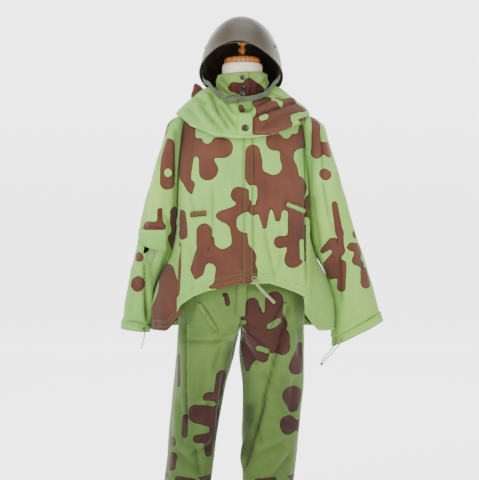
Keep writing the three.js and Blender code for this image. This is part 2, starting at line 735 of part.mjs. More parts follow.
function linerRing(z, inset) {
  const share = z / (HELMET.height - HELMET.wall);
  const swell = Math.sqrt(1 - share ** 2.35);
  return Array.from({ length: RING_POINTS }, (_, k) => {
    const angle = (2 * Math.PI * k) / RING_POINTS;
    const x = Math.cos(angle) * (HELMET.halfWidth * swell - inset);
    const y = Math.sin(angle) * (HELMET.halfLength * swell - inset);
    return new THREE.Vector3(x, y, z);
  });
}

function buildHelmet() {
  const outer = HELMET_LEVELS.map((share) => helmetRing(share, 0));
  const inner = HELMET_LEVELS.map((share) => helmetRing(share, HELMET.wall)).reverse();
  add('helmet_shell', skin([...inner, ...outer]), OLIVE_STEEL, helmetGroup);

  const bandInset = HELMET.wall + SEAT;
  const innerHeight = HELMET.height - HELMET.wall;
  const bandFoot = HELMET_LEVELS[1] * innerHeight;
  const bandTop = HELMET_LEVELS[2] * innerHeight;
  const cradleFoot = bandTop + TOUCH;
  const bandOuter = [linerRing(bandFoot, bandInset), linerRing(bandTop, bandInset)];
  const bandInner = [linerRing(bandTop, bandInset + 5), linerRing(bandFoot, bandInset + 5)];
  add('liner_band', skin([...bandOuter, ...bandInner], true), LINER_LEATHER, helmetGroup);

  const crownTop = CRADLE.ceiling + CRADLE.thick;
  const cradleOuter = [
    linerRing(cradleFoot, bandInset + 1), linerRing(112, bandInset + 10), linerRing(crownTop, 46),
  ];
  const cradleInner = [
    linerRing(CRADLE.ceiling, 52), linerRing(110, bandInset + 15), linerRing(cradleFoot, bandInset + 6),
  ];
  const cradle = skin([...cradleInner, ...cradleOuter]);
  add('liner_cradle', cradle, LINER_LEATHER, helmetGroup);

  buildRivets();
  buildBails();
}

function buildRivets() {
  const spots = [[2, 0.52], [3, 0.34], [11, 0.34], [12, 0.52], [26, 0.34], [16, 0.34]];
  spots.forEach(([k, share], i) => {
    const step = 0.02;
    const point = helmetRing(share, 0)[k];
    const above = helmetRing(share + step, 0)[k];
    const beside = helmetRing(share, 0)[(k + 1) % RING_POINTS];
    const before = helmetRing(share, 0)[(k + RING_POINTS - 1) % RING_POINTS];
    const along = new THREE.Vector3().subVectors(beside, before);
    const facing = along.cross(new THREE.Vector3().subVectors(above, point)).normalize();
    const rivet = add(`helmet_rivet_${i + 1}`, disc(4.5, 2, 8), OLIVE_STEEL, helmetGroup);
    rivet.quaternion.setFromUnitVectors(new THREE.Vector3(0, 0, 1), facing);
    rivet.position.copy(point).addScaledVector(facing, SEAT);
  });
}

const BAIL = { radius: 9, wire: 1.7, z: 16 };

// Middle of a strap ring, inside the shell, on the left (-1) or the right (1).
function bailCentre(side) {
  const share = (BAIL.z + BAIL.radius) / HELMET.height;
  const wall = helmetRing(share, HELMET.wall)[side > 0 ? 0 : RING_POINTS / 2];
  return new THREE.Vector3(wall.x - side * (BAIL.wire + SEAT), wall.y, BAIL.z);
}

function buildBails() {
  for (const [name, side] of [['left_strap_ring', -1], ['right_strap_ring', 1]]) {
    const ring = new THREE.TorusGeometry(BAIL.radius, BAIL.wire, 8, 16);
    ring.rotateY(Math.PI / 2);
    const mesh = add(name, ring, DARK_METAL, helmetGroup);
    mesh.position.copy(bailCentre(side));
  }
}

// ---------- chin strap ----------
function outwardFromNeck(p) {
  return new THREE.Vector3(p.x, p.y + 10, 0).normalize();
}

function strapBand(points) {
  const path = new THREE.CatmullRomCurve3(points);
  return band(path.getPoints(10), STRAP.width, STRAP.thick, outwardFromNeck);
}

function buildChinStrap() {
  const under = BAIL.radius + BAIL.wire + 2;
  const hang = (side) => {
    const start = bailCentre(side).applyMatrix4(helmetGroup.matrixWorld);
    start.z -= under;
    return start;
  };
  const v = (x, y, z) => new THREE.Vector3(x, y, z);
  const buckle = { x: -23, y: -116, z: 1389, width: 30, height: 24, bar: 4, thick: 3 };
  const leftEnd = buckle.x - buckle.width / 2 - 2.2;
  add('left_chin_strap', strapBand([
    hang(-1), v(-124, -13, 1462), v(-104, -62, 1440), v(-90, -84, 1418), v(-66, -104, 1400),
    v(leftEnd, -115, 1390),
  ]), GREY_WEBBING);
  const rightEnd = buckle.x + buckle.width / 2 + 1.2;
  add('right_chin_strap', strapBand([
    hang(1), v(112, -37, 1464), v(96, -64, 1442), v(78, -88, 1416), v(50, -106, 1396),
    v(rightEnd, -117, 1386),
  ]), GREY_WEBBING);
  add('strap_tail', band([
    v(buckle.x + 6, buckle.y - buckle.thick - SEAT, 1387),
    v(buckle.x - 14, buckle.y - buckle.thick - 1, 1386),
    v(buckle.x - 32, buckle.y - buckle.thick + 4, 1383),
  ], STRAP.width, STRAP.thick, outwardFromNeck), GREY_WEBBING);

  const halfWidth = buckle.width / 2;
  const halfHeight = buckle.height / 2;
  const windowTop = halfHeight - buckle.bar;
  const windowEnd = halfWidth - buckle.bar;
  const halfBar = buckle.bar / 2;
  const plate = block([-halfWidth, -halfHeight, 0], [halfWidth, halfHeight, buckle.thick]);
  const leftWindow = block([-windowEnd, -windowTop, -1], [-halfBar, windowTop, buckle.thick + 1]);
  const rightWindow = block([halfBar, -windowTop, -1], [windowEnd, windowTop, buckle.thick + 1]);
  const frame = fromSolid(plate.subtract(leftWindow).subtract(rightWindow));
  const mesh = add('strap_buckle', frame, DARK_METAL);
  place(mesh, { point: v(buckle.x, buckle.y, buckle.z), facing: v(0, -1, 0) });
}

// ---------- free cords ----------
const WAIST_CORD = [
  [35, -155.4, 842], [35.6, -158.4, 841], [37, -160, 836], [41, -160, 827], [48, -157, 817],
  [57, -151, 807], [67, -144, 797], [77, -137, 787], [87, -132, 777], [96, -129, 768],
];
const LEFT_CUFF_CORD = [
  [-308, -53.2, 686.2], [-305.8, -55.4, 685.2], [-304.8, -56.4, 680], [-304.8, -56.6, 670],
  [-306, -56, 658], [-308.5, -55, 646], [-311.5, -54, 634], [-315, -53, 622],
];
const RIGHT_CUFF_CORD = [
  [291.3, -35.3, 644.7], [289.2, -37.4, 643.8], [287, -39.6, 639], [283, -41, 631],
  [277, -42, 621], [269, -42, 612], [260, -42, 603], [251, -42.4, 592], [244.4, -42, 581.7],
];
const RIGHT_CORD_SECOND = [
  [307.7, -46.4, 652.8], [306.5, -49.2, 652], [304.6, -51.6, 648.6], [301, -53, 641], [294, -53, 630],
  [285, -52, 619], [275, -51, 608], [265, -49.4, 597], [256, -47.8, 586.8], [248.8, -46.2, 579],
];

function buildCords() {
  add('waist_cord', cordAlong(WAIST_CORD, TAPE.thick / 2, TAPE.width / 2, 18), CORD_GREEN);
  add('left_cuff_cord', cordAlong(LEFT_CUFF_CORD, CORD_RADIUS, CORD_RADIUS, 14), CORD_GREEN);
  add('right_cuff_cord', cordAlong(RIGHT_CUFF_CORD, CORD_RADIUS, CORD_RADIUS, 14), CORD_GREEN);
  add('right_cuff_cord_2', cordAlong(RIGHT_CORD_SECOND, CORD_RADIUS, CORD_RADIUS, 14), CORD_GREEN);
  const knot = new THREE.SphereGeometry(6, 10, 8);
  const mesh = add('right_cuff_knot', knot, CORD_GREEN);
  mesh.position.set(244, -43.5, 575);
}

buildForm();
buildTrousers();
buildSmock();
buildSleeves();
buildHood();
buildHelmet();
buildChinStrap();
buildCords();

export default suit;
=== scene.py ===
"""A hooded camouflage oversuit on a display form, with a strapped steel helmet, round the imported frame."""

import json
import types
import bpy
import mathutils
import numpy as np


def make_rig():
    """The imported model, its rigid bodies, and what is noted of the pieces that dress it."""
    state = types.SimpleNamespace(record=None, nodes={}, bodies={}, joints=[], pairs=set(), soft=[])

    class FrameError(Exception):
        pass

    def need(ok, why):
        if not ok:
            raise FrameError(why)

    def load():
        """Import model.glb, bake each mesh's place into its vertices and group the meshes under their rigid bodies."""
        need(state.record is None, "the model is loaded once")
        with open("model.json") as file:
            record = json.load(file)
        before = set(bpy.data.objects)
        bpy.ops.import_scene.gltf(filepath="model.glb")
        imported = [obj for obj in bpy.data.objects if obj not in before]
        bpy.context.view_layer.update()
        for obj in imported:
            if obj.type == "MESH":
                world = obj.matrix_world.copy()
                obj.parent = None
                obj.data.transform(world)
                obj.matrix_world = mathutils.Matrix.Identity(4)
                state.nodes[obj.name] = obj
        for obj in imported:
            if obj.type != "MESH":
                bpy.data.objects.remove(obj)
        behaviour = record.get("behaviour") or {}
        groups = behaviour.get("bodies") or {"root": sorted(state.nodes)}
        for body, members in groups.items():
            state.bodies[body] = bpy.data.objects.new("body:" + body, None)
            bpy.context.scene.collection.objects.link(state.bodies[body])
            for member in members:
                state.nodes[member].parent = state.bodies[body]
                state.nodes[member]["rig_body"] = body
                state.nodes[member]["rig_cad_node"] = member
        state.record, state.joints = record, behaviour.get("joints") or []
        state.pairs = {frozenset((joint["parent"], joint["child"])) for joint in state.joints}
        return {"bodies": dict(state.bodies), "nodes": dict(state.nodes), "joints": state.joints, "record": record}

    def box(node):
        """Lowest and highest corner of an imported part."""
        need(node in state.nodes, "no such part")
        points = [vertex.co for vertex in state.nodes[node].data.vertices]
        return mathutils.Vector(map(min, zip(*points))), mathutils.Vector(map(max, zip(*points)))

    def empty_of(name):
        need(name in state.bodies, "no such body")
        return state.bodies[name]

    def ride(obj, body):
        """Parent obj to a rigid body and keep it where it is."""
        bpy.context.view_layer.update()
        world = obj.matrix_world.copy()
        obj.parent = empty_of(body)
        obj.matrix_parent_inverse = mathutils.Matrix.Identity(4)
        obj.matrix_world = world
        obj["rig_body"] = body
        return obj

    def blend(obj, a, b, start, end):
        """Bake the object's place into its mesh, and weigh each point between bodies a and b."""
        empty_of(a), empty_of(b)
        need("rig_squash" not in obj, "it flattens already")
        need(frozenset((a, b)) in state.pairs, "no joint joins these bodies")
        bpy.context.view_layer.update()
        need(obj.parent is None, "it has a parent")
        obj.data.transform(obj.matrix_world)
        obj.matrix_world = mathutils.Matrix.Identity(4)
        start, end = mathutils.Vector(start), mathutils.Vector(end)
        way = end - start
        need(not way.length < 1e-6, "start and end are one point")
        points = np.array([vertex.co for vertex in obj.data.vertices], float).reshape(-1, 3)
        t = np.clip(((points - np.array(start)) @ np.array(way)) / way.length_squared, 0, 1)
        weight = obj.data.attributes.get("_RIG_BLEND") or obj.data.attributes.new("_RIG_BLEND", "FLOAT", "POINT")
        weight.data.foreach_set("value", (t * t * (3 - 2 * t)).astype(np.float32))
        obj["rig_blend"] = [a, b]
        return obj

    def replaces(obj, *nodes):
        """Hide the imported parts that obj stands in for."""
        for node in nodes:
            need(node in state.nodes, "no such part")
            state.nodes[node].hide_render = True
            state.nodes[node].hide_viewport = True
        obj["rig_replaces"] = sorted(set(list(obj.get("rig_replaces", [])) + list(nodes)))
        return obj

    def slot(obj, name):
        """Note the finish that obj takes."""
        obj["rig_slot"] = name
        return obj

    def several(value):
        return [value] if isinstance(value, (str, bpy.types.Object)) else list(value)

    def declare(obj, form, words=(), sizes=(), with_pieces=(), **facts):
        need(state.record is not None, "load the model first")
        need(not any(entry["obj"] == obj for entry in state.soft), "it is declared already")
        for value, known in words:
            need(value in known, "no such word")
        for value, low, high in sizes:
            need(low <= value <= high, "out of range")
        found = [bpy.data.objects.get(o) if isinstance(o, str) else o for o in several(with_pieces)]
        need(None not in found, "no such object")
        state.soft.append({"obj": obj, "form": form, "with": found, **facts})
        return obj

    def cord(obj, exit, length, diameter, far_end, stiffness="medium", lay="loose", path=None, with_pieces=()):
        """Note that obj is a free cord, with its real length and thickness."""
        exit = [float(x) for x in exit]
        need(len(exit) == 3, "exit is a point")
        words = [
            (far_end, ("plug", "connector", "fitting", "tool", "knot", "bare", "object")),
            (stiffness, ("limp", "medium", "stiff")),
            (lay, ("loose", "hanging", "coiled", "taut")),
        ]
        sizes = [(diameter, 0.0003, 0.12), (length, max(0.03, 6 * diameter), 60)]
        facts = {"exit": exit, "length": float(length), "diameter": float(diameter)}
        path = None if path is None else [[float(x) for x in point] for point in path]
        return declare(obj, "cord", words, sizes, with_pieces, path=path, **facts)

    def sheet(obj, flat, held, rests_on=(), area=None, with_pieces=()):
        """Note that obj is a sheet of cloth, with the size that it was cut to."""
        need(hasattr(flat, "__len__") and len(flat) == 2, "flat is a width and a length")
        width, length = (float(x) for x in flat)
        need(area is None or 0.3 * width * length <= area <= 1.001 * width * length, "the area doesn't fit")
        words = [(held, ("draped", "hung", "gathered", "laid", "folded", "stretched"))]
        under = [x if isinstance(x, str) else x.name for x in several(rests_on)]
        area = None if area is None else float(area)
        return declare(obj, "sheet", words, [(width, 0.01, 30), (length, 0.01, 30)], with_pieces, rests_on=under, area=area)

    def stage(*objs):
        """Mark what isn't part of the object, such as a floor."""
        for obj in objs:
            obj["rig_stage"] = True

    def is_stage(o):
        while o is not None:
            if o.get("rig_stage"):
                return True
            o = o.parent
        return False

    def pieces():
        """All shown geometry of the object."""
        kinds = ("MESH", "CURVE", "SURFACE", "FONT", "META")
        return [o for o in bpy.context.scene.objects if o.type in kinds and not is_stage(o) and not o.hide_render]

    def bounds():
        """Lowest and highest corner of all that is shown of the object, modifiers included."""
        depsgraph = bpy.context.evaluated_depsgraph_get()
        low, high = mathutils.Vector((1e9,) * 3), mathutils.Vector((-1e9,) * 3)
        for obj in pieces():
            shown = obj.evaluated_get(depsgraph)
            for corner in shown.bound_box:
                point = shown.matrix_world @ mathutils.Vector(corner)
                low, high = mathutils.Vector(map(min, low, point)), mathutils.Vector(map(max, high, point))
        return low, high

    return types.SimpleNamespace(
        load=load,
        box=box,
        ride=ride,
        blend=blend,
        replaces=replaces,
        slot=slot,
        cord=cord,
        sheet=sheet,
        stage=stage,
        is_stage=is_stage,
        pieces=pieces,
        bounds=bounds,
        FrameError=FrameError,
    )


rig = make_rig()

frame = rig.load()

import json
import logging
import math
import random
from dataclasses import dataclass, field
from enum import Enum
from typing import Callable, Optional, Sequence, Union

import bmesh
import bpy
import numpy as np
from mathutils import Matrix, Vector, noise

CAD_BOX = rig.bounds()
LOG = logging.getLogger("oversuit")
MM = 0.001
BOXINESS = 2.3  # 2 is an ellipse, and more is squarer
CLOTH = 0.0014  # thickness of the cotton
SPACING = 0.0052  # distance between cloth points
FAR = 0.1  # stands for a seam or an edge of the print that is nowhere near
STITCH = 0.0042  # from one stitch to the next
THREADS = 260.0  # waves of the cotton's weave in a metre
HEM_STITCHES = (0.012, 0.030)  # above the smock's lower edge
Colour = tuple[float, float, float]
Row = tuple[float, ...]
Span = tuple[float, float]
Place = tuple[float, float, float]
Route = tuple[Place, ...]
Value = Union[bpy.types.NodeSocket, float, Row]  # what a node's socket takes


class Hold(Enum):
    """How a sheet of cloth is held."""

    DRAPED = "draped"
    HUNG = "hung"
    GATHERED = "gathered"
    FOLDED = "folded"
    STRETCHED = "stretched"


def srgb(red: int, green: int, blue: int) -> Colour:
    """Turns a display colour from 0 to 255 into linear light.

    Args:
        red: red share.
        green: green share.
        blue: blue share.

    Returns:
        The three linear values.
    """
    shares = (value / 255 for value in (red, green, blue))
    return tuple(s / 12.92 if s <= 0.04045 else ((s + 0.055) / 1.055) ** 2.4 for s in shares)


# ---------- finishes ----------
class Graph:
    """A material's node tree, with short ways to add and join nodes."""

    def __init__(self, name: str) -> None:
        """Starts a material that holds one principled shader."""
        self.material = bpy.data.materials.new(name)
        self.material.use_nodes = True
        self.nodes = self.material.node_tree.nodes
        self.links = self.material.node_tree.links
        self.shader = self.nodes["Principled BSDF"]

    def add(self, kind: str, inputs: Optional[dict] = None, **settings: object) -> bpy.types.Node:
        """Adds a node.

        Args:
            kind: node type after the ShaderNode prefix.
            inputs: values of its sockets, by name or number. A socket is joined instead.
            settings: the node's own settings.

        Returns:
            The node.
        """
        node = self.nodes.new("ShaderNode" + kind)
        for key, value in settings.items():
            setattr(node, key, value)
        for key, value in (inputs or {}).items():
            self.feed(node.inputs[key], value)
        return node

    def feed(self, socket: bpy.types.NodeSocket, value: Value) -> None:
        """Sets a socket's value, or joins another socket to it."""
        if isinstance(value, bpy.types.NodeSocket):
            self.links.new(value, socket)
        elif isinstance(value, tuple) and len(value) == 3 and socket.type == "RGBA":
            socket.default_value = (*value, 1.0)
        else:
            socket.default_value = value

    def math(self, operation: str, first: Value, second: Value = 0.0) -> bpy.types.NodeSocket:
        """Adds a maths node on two values and returns its result."""
        return self.add("Math", {0: first, 1: second}, operation=operation).outputs[0]

    def span(
        self, value: Value, low: float, high: float, start: float = 0.0, end: float = 1.0
    ) -> bpy.types.NodeSocket:
        """Maps a value from one span to another, clamped, and returns it."""
        inputs = {"Value": value, "From Min": low, "From Max": high, "To Min": start, "To Max": end}
        return self.add("MapRange", inputs).outputs["Result"]

    def mix(self, factor: Value, first: Value, second: Value, blend: str = "MIX") -> bpy.types.NodeSocket:
        """Mixes two colours by a factor and returns the result."""
        node = self.add("Mix", data_type="RGBA", blend_type=blend)
        self.feed(node.inputs[0], factor)
        self.feed(node.inputs[6], first)
        self.feed(node.inputs[7], second)
        return node.outputs[2]

    def tint(self, colour: Value, factor: Value) -> bpy.types.NodeSocket:
        """Multiplies a colour by a factor and returns the result."""
        return self.mix(1.0, colour, factor, "MULTIPLY")

    def place(self, scale: Sequence[float] = (1, 1, 1)) -> bpy.types.NodeSocket:
        """Object coordinates, stretched by a scale."""
        coordinates = self.add("TexCoord").outputs["Object"]
        return self.add("Mapping", {"Vector": coordinates, "Scale": tuple(scale)}).outputs[0]

    def cloud(self, vector: Value, scale: float, detail: float = 3.0) -> bpy.types.NodeSocket:
        """Soft noise from 0 to 1."""
        inputs = {"Vector": vector, "Scale": scale, "Detail": detail}
        return self.add("TexNoise", inputs).outputs[0]

    def attribute(self, name: str) -> bpy.types.NodeSocket:
        """A number that the mesh holds at its points."""
        return self.add("Attribute", attribute_name=name).outputs["Fac"]

    def raise_surface(
        self, height: Value, strength: float, distance: float, under: Optional[Value] = None
    ) -> bpy.types.NodeSocket:
        """Adds a bump over another one and returns its normal."""
        inputs = {"Height": height, "Strength": strength, "Distance": distance}
        node = self.add("Bump", inputs)
        if under is not None:
            self.links.new(under, node.inputs["Normal"])
        return node.outputs[0]

    def finish(self, **values: Value) -> bpy.types.Material:
        """Feeds the shader's sockets, named with spaces as underscores, and returns the material."""
        for key, value in values.items():
            self.feed(self.shader.inputs[key.replace("_", " ")], value)
        return self.material


@dataclass(frozen=True)
class PrintedCotton:
    """Plain-weave cotton printed with brown patches on light green."""

    name: str
    green: Colour
    cool: Colour
    brown: Colour
    deep: Colour
    low_shade: float = 1.0  # how much colour is left at the lower edge: painted shade, darker towards the bottom
    low: float = 0.2
    high: float = 0.9

    def build(self) -> bpy.types.Material:
        """Makes the material."""
        g = Graph(self.name)
        place = g.place()
        edge = g.cloud(place, 170.0, 2.0)
        wander = g.math("MULTIPLY", g.math("SUBTRACT", edge, 0.5), 0.0022)
        inside = g.math("ADD", g.attribute("print"), wander)
        patch = g.cloud(place, 4.5, 2.0)
        ground = g.mix(g.span(patch, 0.36, 0.66), self.green, self.cool)
        earth = g.mix(g.span(g.cloud(place, 6.0, 3.0), 0.35, 0.7), self.brown, self.deep)
        line = tuple(0.42 * value for value in self.brown)
        halo = tuple(min(1.0, 1.25 * value) for value in self.green)
        colour = g.mix(g.math("MULTIPLY", g.span(inside, -0.0034, -0.0016), 0.45), ground, halo)
        colour = g.mix(g.span(inside, -0.0012, -0.0002), colour, line)
        colour = g.mix(g.span(inside, 0.0010, 0.0026), colour, earth)
        # the weave shows as fine flecks, and long washes as soft streaks
        fleck = g.cloud(g.place((900.0, 900.0, 900.0)), 1.0, 1.0)
        colour = g.tint(colour, g.span(fleck, 0.2, 0.8, 0.94, 1.06))
        streak = g.cloud(g.place((26.0, 26.0, 3.0)), 1.0, 3.0)
        colour = g.tint(colour, g.span(streak, 0.25, 0.75, 0.95, 1.05))
        # painted shade: the colour darkens towards the bottom, between the heights low and high
        if self.low_shade < 1:
            height = g.add("SeparateXYZ", {0: place}).outputs[2]
            painted_low_shade = g.span(height, self.low, self.high, self.low_shade, 1.0)
            colour = g.tint(colour, painted_low_shade)
        # painted shade: darkens the colour where the cloth's points carry shade, in folds, creases and shaded patches
        painted_shade = g.span(g.attribute("painted_shade"), 0.0, 1.0, 1.0, 0.16)
        colour = g.tint(colour, painted_shade)
        seam = g.math("ABSOLUTE", g.attribute("seam"))
        across = g.add("UVMap", uv_map="cloth").outputs[0]
        run = g.add("SeparateXYZ", {0: across}).outputs[0]
        dash = g.span(g.math("SINE", g.math("MULTIPLY", run, 2 * math.pi / STITCH)), -0.3, 0.3)
        thread = g.math("MULTIPLY", g.span(seam, 0.0004, 0.0013, 1.0, 0.0), dash)
        colour = g.mix(g.math("MULTIPLY", thread, 0.75), colour, tuple(0.35 * v for v in self.green))
        warp = g.add("TexWave", {"Vector": across, "Scale": THREADS}, bands_direction="X").outputs[1]
        weft = g.add("TexWave", {"Vector": across, "Scale": THREADS}, bands_direction="Y").outputs[1]
        bump = g.raise_surface(g.math("MULTIPLY", warp, weft), 0.22, 0.0005)
        crumple = g.cloud(g.place((11.0, 11.0, 5.0)), 1.0, 5.0)
        bump = g.raise_surface(crumple, 0.65, 0.014, bump)
        small = g.cloud(g.place((60.0, 60.0, 38.0)), 1.0, 4.0)
        bump = g.raise_surface(small, 0.32, 0.003, bump)
        bump = g.raise_surface(g.span(seam, 0.0, 0.004), 0.5, 0.0012, bump)
        rough = g.span(fleck, 0.0, 1.0, 0.82, 0.95)
        return g.finish(
            Base_Color=colour, Roughness=rough, Normal=bump,
            Sheen_Weight=0.12, Sheen_Roughness=0.5, Specular_IOR_Level=0.18,
        )


@dataclass(frozen=True)
class Webbing:
    """Woven strap or tape with a ribbed weave along its length."""

    name: str
    light: Colour
    dark: Colour
    rib: float = 900.0

    def build(self) -> bpy.types.Material:
        """Makes the material."""
        g = Graph(self.name)
        across = g.add("UVMap", uv_map="cloth").outputs[0]
        warp = g.add("TexWave", {"Vector": across, "Scale": self.rib}, bands_direction="X").outputs[1]
        weft = g.add("TexWave", {"Vector": across, "Scale": self.rib * 0.6}, bands_direction="Y").outputs[1]
        weave = g.math("MULTIPLY", warp, weft)
        worn = g.cloud(g.place(), 45.0, 4.0)
        tone = g.math("ADD", g.math("MULTIPLY", weave, 0.5), g.math("MULTIPLY", worn, 0.6))
        colour = g.mix(g.span(tone, 0.15, 0.85), self.dark, self.light)
        bump = g.raise_surface(weave, 0.6, 0.0008)
        return g.finish(
            Base_Color=colour, Roughness=g.span(worn, 0.0, 1.0, 0.78, 0.95), Normal=bump,
            Specular_IOR_Level=0.2,
        )


@dataclass(frozen=True)
class PaintedSteel:
    """Olive paint on pressed steel, with fine texture, dust and scratches."""

    name: str
    base: Colour
    worn: Colour
    rough: Span = (0.34, 0.55)
    metal: float = 0.0

    def build(self) -> bpy.types.Material:
        """Makes the material."""
        g = Graph(self.name)
        place = g.place()
        mottle = g.cloud(place, 14.0, 6.0)
        fine = g.cloud(place, 320.0, 2.0)
        colour = g.mix(g.span(mottle, 0.38, 0.68), self.base, self.worn)
        scratch = g.cloud(g.place((60.0, 900.0, 240.0)), 1.0, 2.0)
        colour = g.mix(g.span(scratch, 0.68, 0.76, 0.0, 0.35), colour, self.worn)
        colour = g.tint(colour, g.span(fine, 0.2, 0.8, 0.93, 1.07))
        bump = g.raise_surface(fine, 0.14, 0.0006)
        bump = g.raise_surface(mottle, 0.10, 0.004, bump)
        rough = g.span(mottle, 0.3, 0.7, *self.rough)
        return g.finish(Base_Color=colour, Roughness=rough, Normal=bump, Metallic=self.metal)


@dataclass(frozen=True)
class TurnedWood:
    """Varnished wood with rings along the grain."""

    name: str
    light: Colour
    dark: Colour

    def build(self) -> bpy.types.Material:
        """Makes the material."""
        g = Graph(self.name)
        place = g.place((1.0, 1.0, 7.0))
        bend = g.cloud(place, 9.0, 3.0)
        rings = g.add("TexWave", {"Vector": place, "Scale": 22.0, "Distortion": 6.0, "Detail": 3.0})
        grain = g.math("ADD", g.math("MULTIPLY", rings.outputs[1], 0.6), g.math("MULTIPLY", bend, 0.4))
        pores = g.cloud(g.place((400.0, 400.0, 60.0)), 1.0, 2.0)
        colour = g.mix(g.span(grain, 0.25, 0.8), self.light, self.dark)
        colour = g.mix(g.span(pores, 0.62, 0.75, 0.0, 0.4), colour, self.dark)
        bump = g.raise_surface(pores, 0.15, 0.0006)
        return g.finish(
            Base_Color=colour, Roughness=g.span(bend, 0.2, 0.8, 0.34, 0.5), Normal=bump,
            Coat_Weight=0.3,
        )


@dataclass(frozen=True)
class Smooth:
    """A plain moulded, painted or leather surface with mottling and fine grain."""

    name: str
    base: Colour
    other: Colour
    grain: float
    depth: float
    rough: Span
    metal: float = 0.0

    def build(self) -> bpy.types.Material:
        """Makes the material."""
        g = Graph(self.name)
        place = g.place()
        broad = g.cloud(place, 7.0, 4.0)
        fine = g.cloud(place, self.grain, 3.0)
        colour = g.mix(g.span(broad, 0.35, 0.7), self.base, self.other)
        colour = g.tint(colour, g.span(fine, 0.2, 0.8, 0.95, 1.05))
        bump = g.raise_surface(fine, 0.25, self.depth)
        return g.finish(
            Base_Color=colour, Roughness=g.span(broad, 0.3, 0.7, *self.rough), Normal=bump,
            Metallic=self.metal,
        )


SMOCK_COTTON = PrintedCotton(
    "smock_cotton", srgb(138, 180, 78), srgb(120, 168, 80), srgb(94, 56, 41), srgb(78, 43, 33),
    low_shade=0.80, low=0.70, high=1.12,
)
TROUSER_COTTON = PrintedCotton(
    "trouser_cotton", srgb(84, 108, 48), srgb(74, 100, 48), srgb(62, 34, 26), srgb(48, 26, 21),
    low_shade=0.58, low=0.15, high=0.76,
)
VEIL_COTTON = PrintedCotton(
    "veil_cotton", srgb(118, 152, 74), srgb(94, 128, 62), srgb(84, 42, 32), srgb(58, 30, 24)
)
GREY_WEBBING = Webbing("grey_webbing", srgb(112, 122, 100), srgb(58, 66, 52))
GREEN_TAPE = Webbing("green_tape", srgb(150, 168, 112), srgb(98, 112, 70), 500.0)
DARK_CORD = Webbing("dark_cord", srgb(118, 130, 82), srgb(58, 66, 42), 700.0)
OLIVE_STEEL = PaintedSteel("olive_steel", srgb(56, 49, 34), srgb(70, 62, 44))
DARK_STEEL = PaintedSteel("dark_steel", srgb(52, 54, 50), srgb(88, 88, 82), (0.3, 0.5), 0.7)
CAP_WOOD = TurnedWood("cap_wood", srgb(206, 132, 66), srgb(166, 92, 42))
FORM_CREAM = Smooth("form_cream", srgb(240, 230, 200), srgb(230, 216, 184), 240.0, 0.0005, (0.42, 0.6))
LINER_LEATHER = Smooth("liner_leather", srgb(58, 44, 32), srgb(38, 28, 20), 420.0, 0.0012, (0.55, 0.8))
BASE_PAINT = Smooth("base_paint", srgb(222, 222, 218), srgb(208, 208, 204), 500.0, 0.0003, (0.4, 0.55))
DARK_BUTTON = Smooth("dark_button", srgb(46, 40, 36), srgb(30, 27, 25), 300.0, 0.0004, (0.22, 0.4))
SHINY_BUTTON = Smooth("shiny_button", srgb(30, 30, 34), srgb(44, 44, 50), 200.0, 0.0002, (0.1, 0.2), 0.5)
GREEN_CAD_TAPE = Smooth("green_cad_tape", srgb(112, 128, 84), srgb(88, 104, 64), 500.0, 0.001, (0.8, 0.95))
Finish = Union[PrintedCotton, Webbing, PaintedSteel, TurnedWood, Smooth]


class Dresser:
    """Makes each finish once, and puts it on pieces."""

    def __init__(self) -> None:
        """Starts with no material made."""
        self.made: dict[str, bpy.types.Material] = {}

    def dress(self, piece: bpy.types.Object, finish: Finish) -> None:
        """Gives a piece one finish all over."""
        if finish.name not in self.made:
            self.made[finish.name] = finish.build()
        piece.data.materials.clear()
        piece.data.materials.append(self.made[finish.name])

    def dress_nodes(self, finish: Finish, *names: str) -> None:
        """Gives one finish to nodes that stay as the CAD made them."""
        for name in names:
            self.dress(frame["nodes"][name], finish)


DRESSER = Dresser()


# ---------- the print and the folds ----------
def from_stroke(x: np.ndarray, z: np.ndarray, start: Row, end: Row) -> tuple[np.ndarray, np.ndarray]:
    """Measures points against a straight stroke.

    Args:
        x: places across the cloth.
        z: heights.
        start: x and z of the stroke's first end.
        end: x and z of its other end.

    Returns:
        How far along the stroke each point lies, from 0 to 1, and how far from it.
    """
    dx, dz = end[0] - start[0], end[1] - start[1]
    along = (x - start[0]) * dx + (z - start[1]) * dz
    share = np.clip(along / (dx * dx + dz * dz + 1e-9), 0, 1)
    return share, np.hypot(x - start[0] - share * dx, z - start[1] - share * dz)


@dataclass(frozen=True)
class Print:
    """Brown strokes on green cloth, and green strokes laid over them.

    Each stroke is (x, z, radius, x, z, radius) in millimetres across and up the cloth.
    """

    browns: tuple[Row, ...]
    greens: tuple[Row, ...] = ()
    blend: float = 9.0

    def depth(self, across: np.ndarray, up: np.ndarray) -> np.ndarray:
        """How far each point lies inside a brown patch.

        Args:
            across: places across the cloth, in metres.
            up: heights, in metres.

        Returns:
            Metres, above 0 inside brown.
        """
        x, z = across / MM, up / MM
        inside = self._union(self.browns, x, z)
        if self.greens:
            over = self._union(self.greens, x, z)
            inside = -self._soft_most(-inside, over)
        return inside * MM

    def _union(self, strokes: Sequence[Row], x: np.ndarray, z: np.ndarray) -> np.ndarray:
        """Joins strokes with soft corners."""
        total = np.full(x.shape, -400.0)
        for x1, z1, r1, x2, z2, r2 in strokes:
            share, away = from_stroke(x, z, (x1, z1), (x2, z2))
            reach = r1 + (r2 - r1) * share
            total = self._soft_most(total, reach - away)
        return total

    def _soft_most(self, first: np.ndarray, second: np.ndarray) -> np.ndarray:
        """The greater of two values, rounded where they are close."""
        share = np.clip(0.5 + 0.5 * (second - first) / self.blend, 0, 1)
        return first + (second - first) * share + self.blend * share * (1 - share)


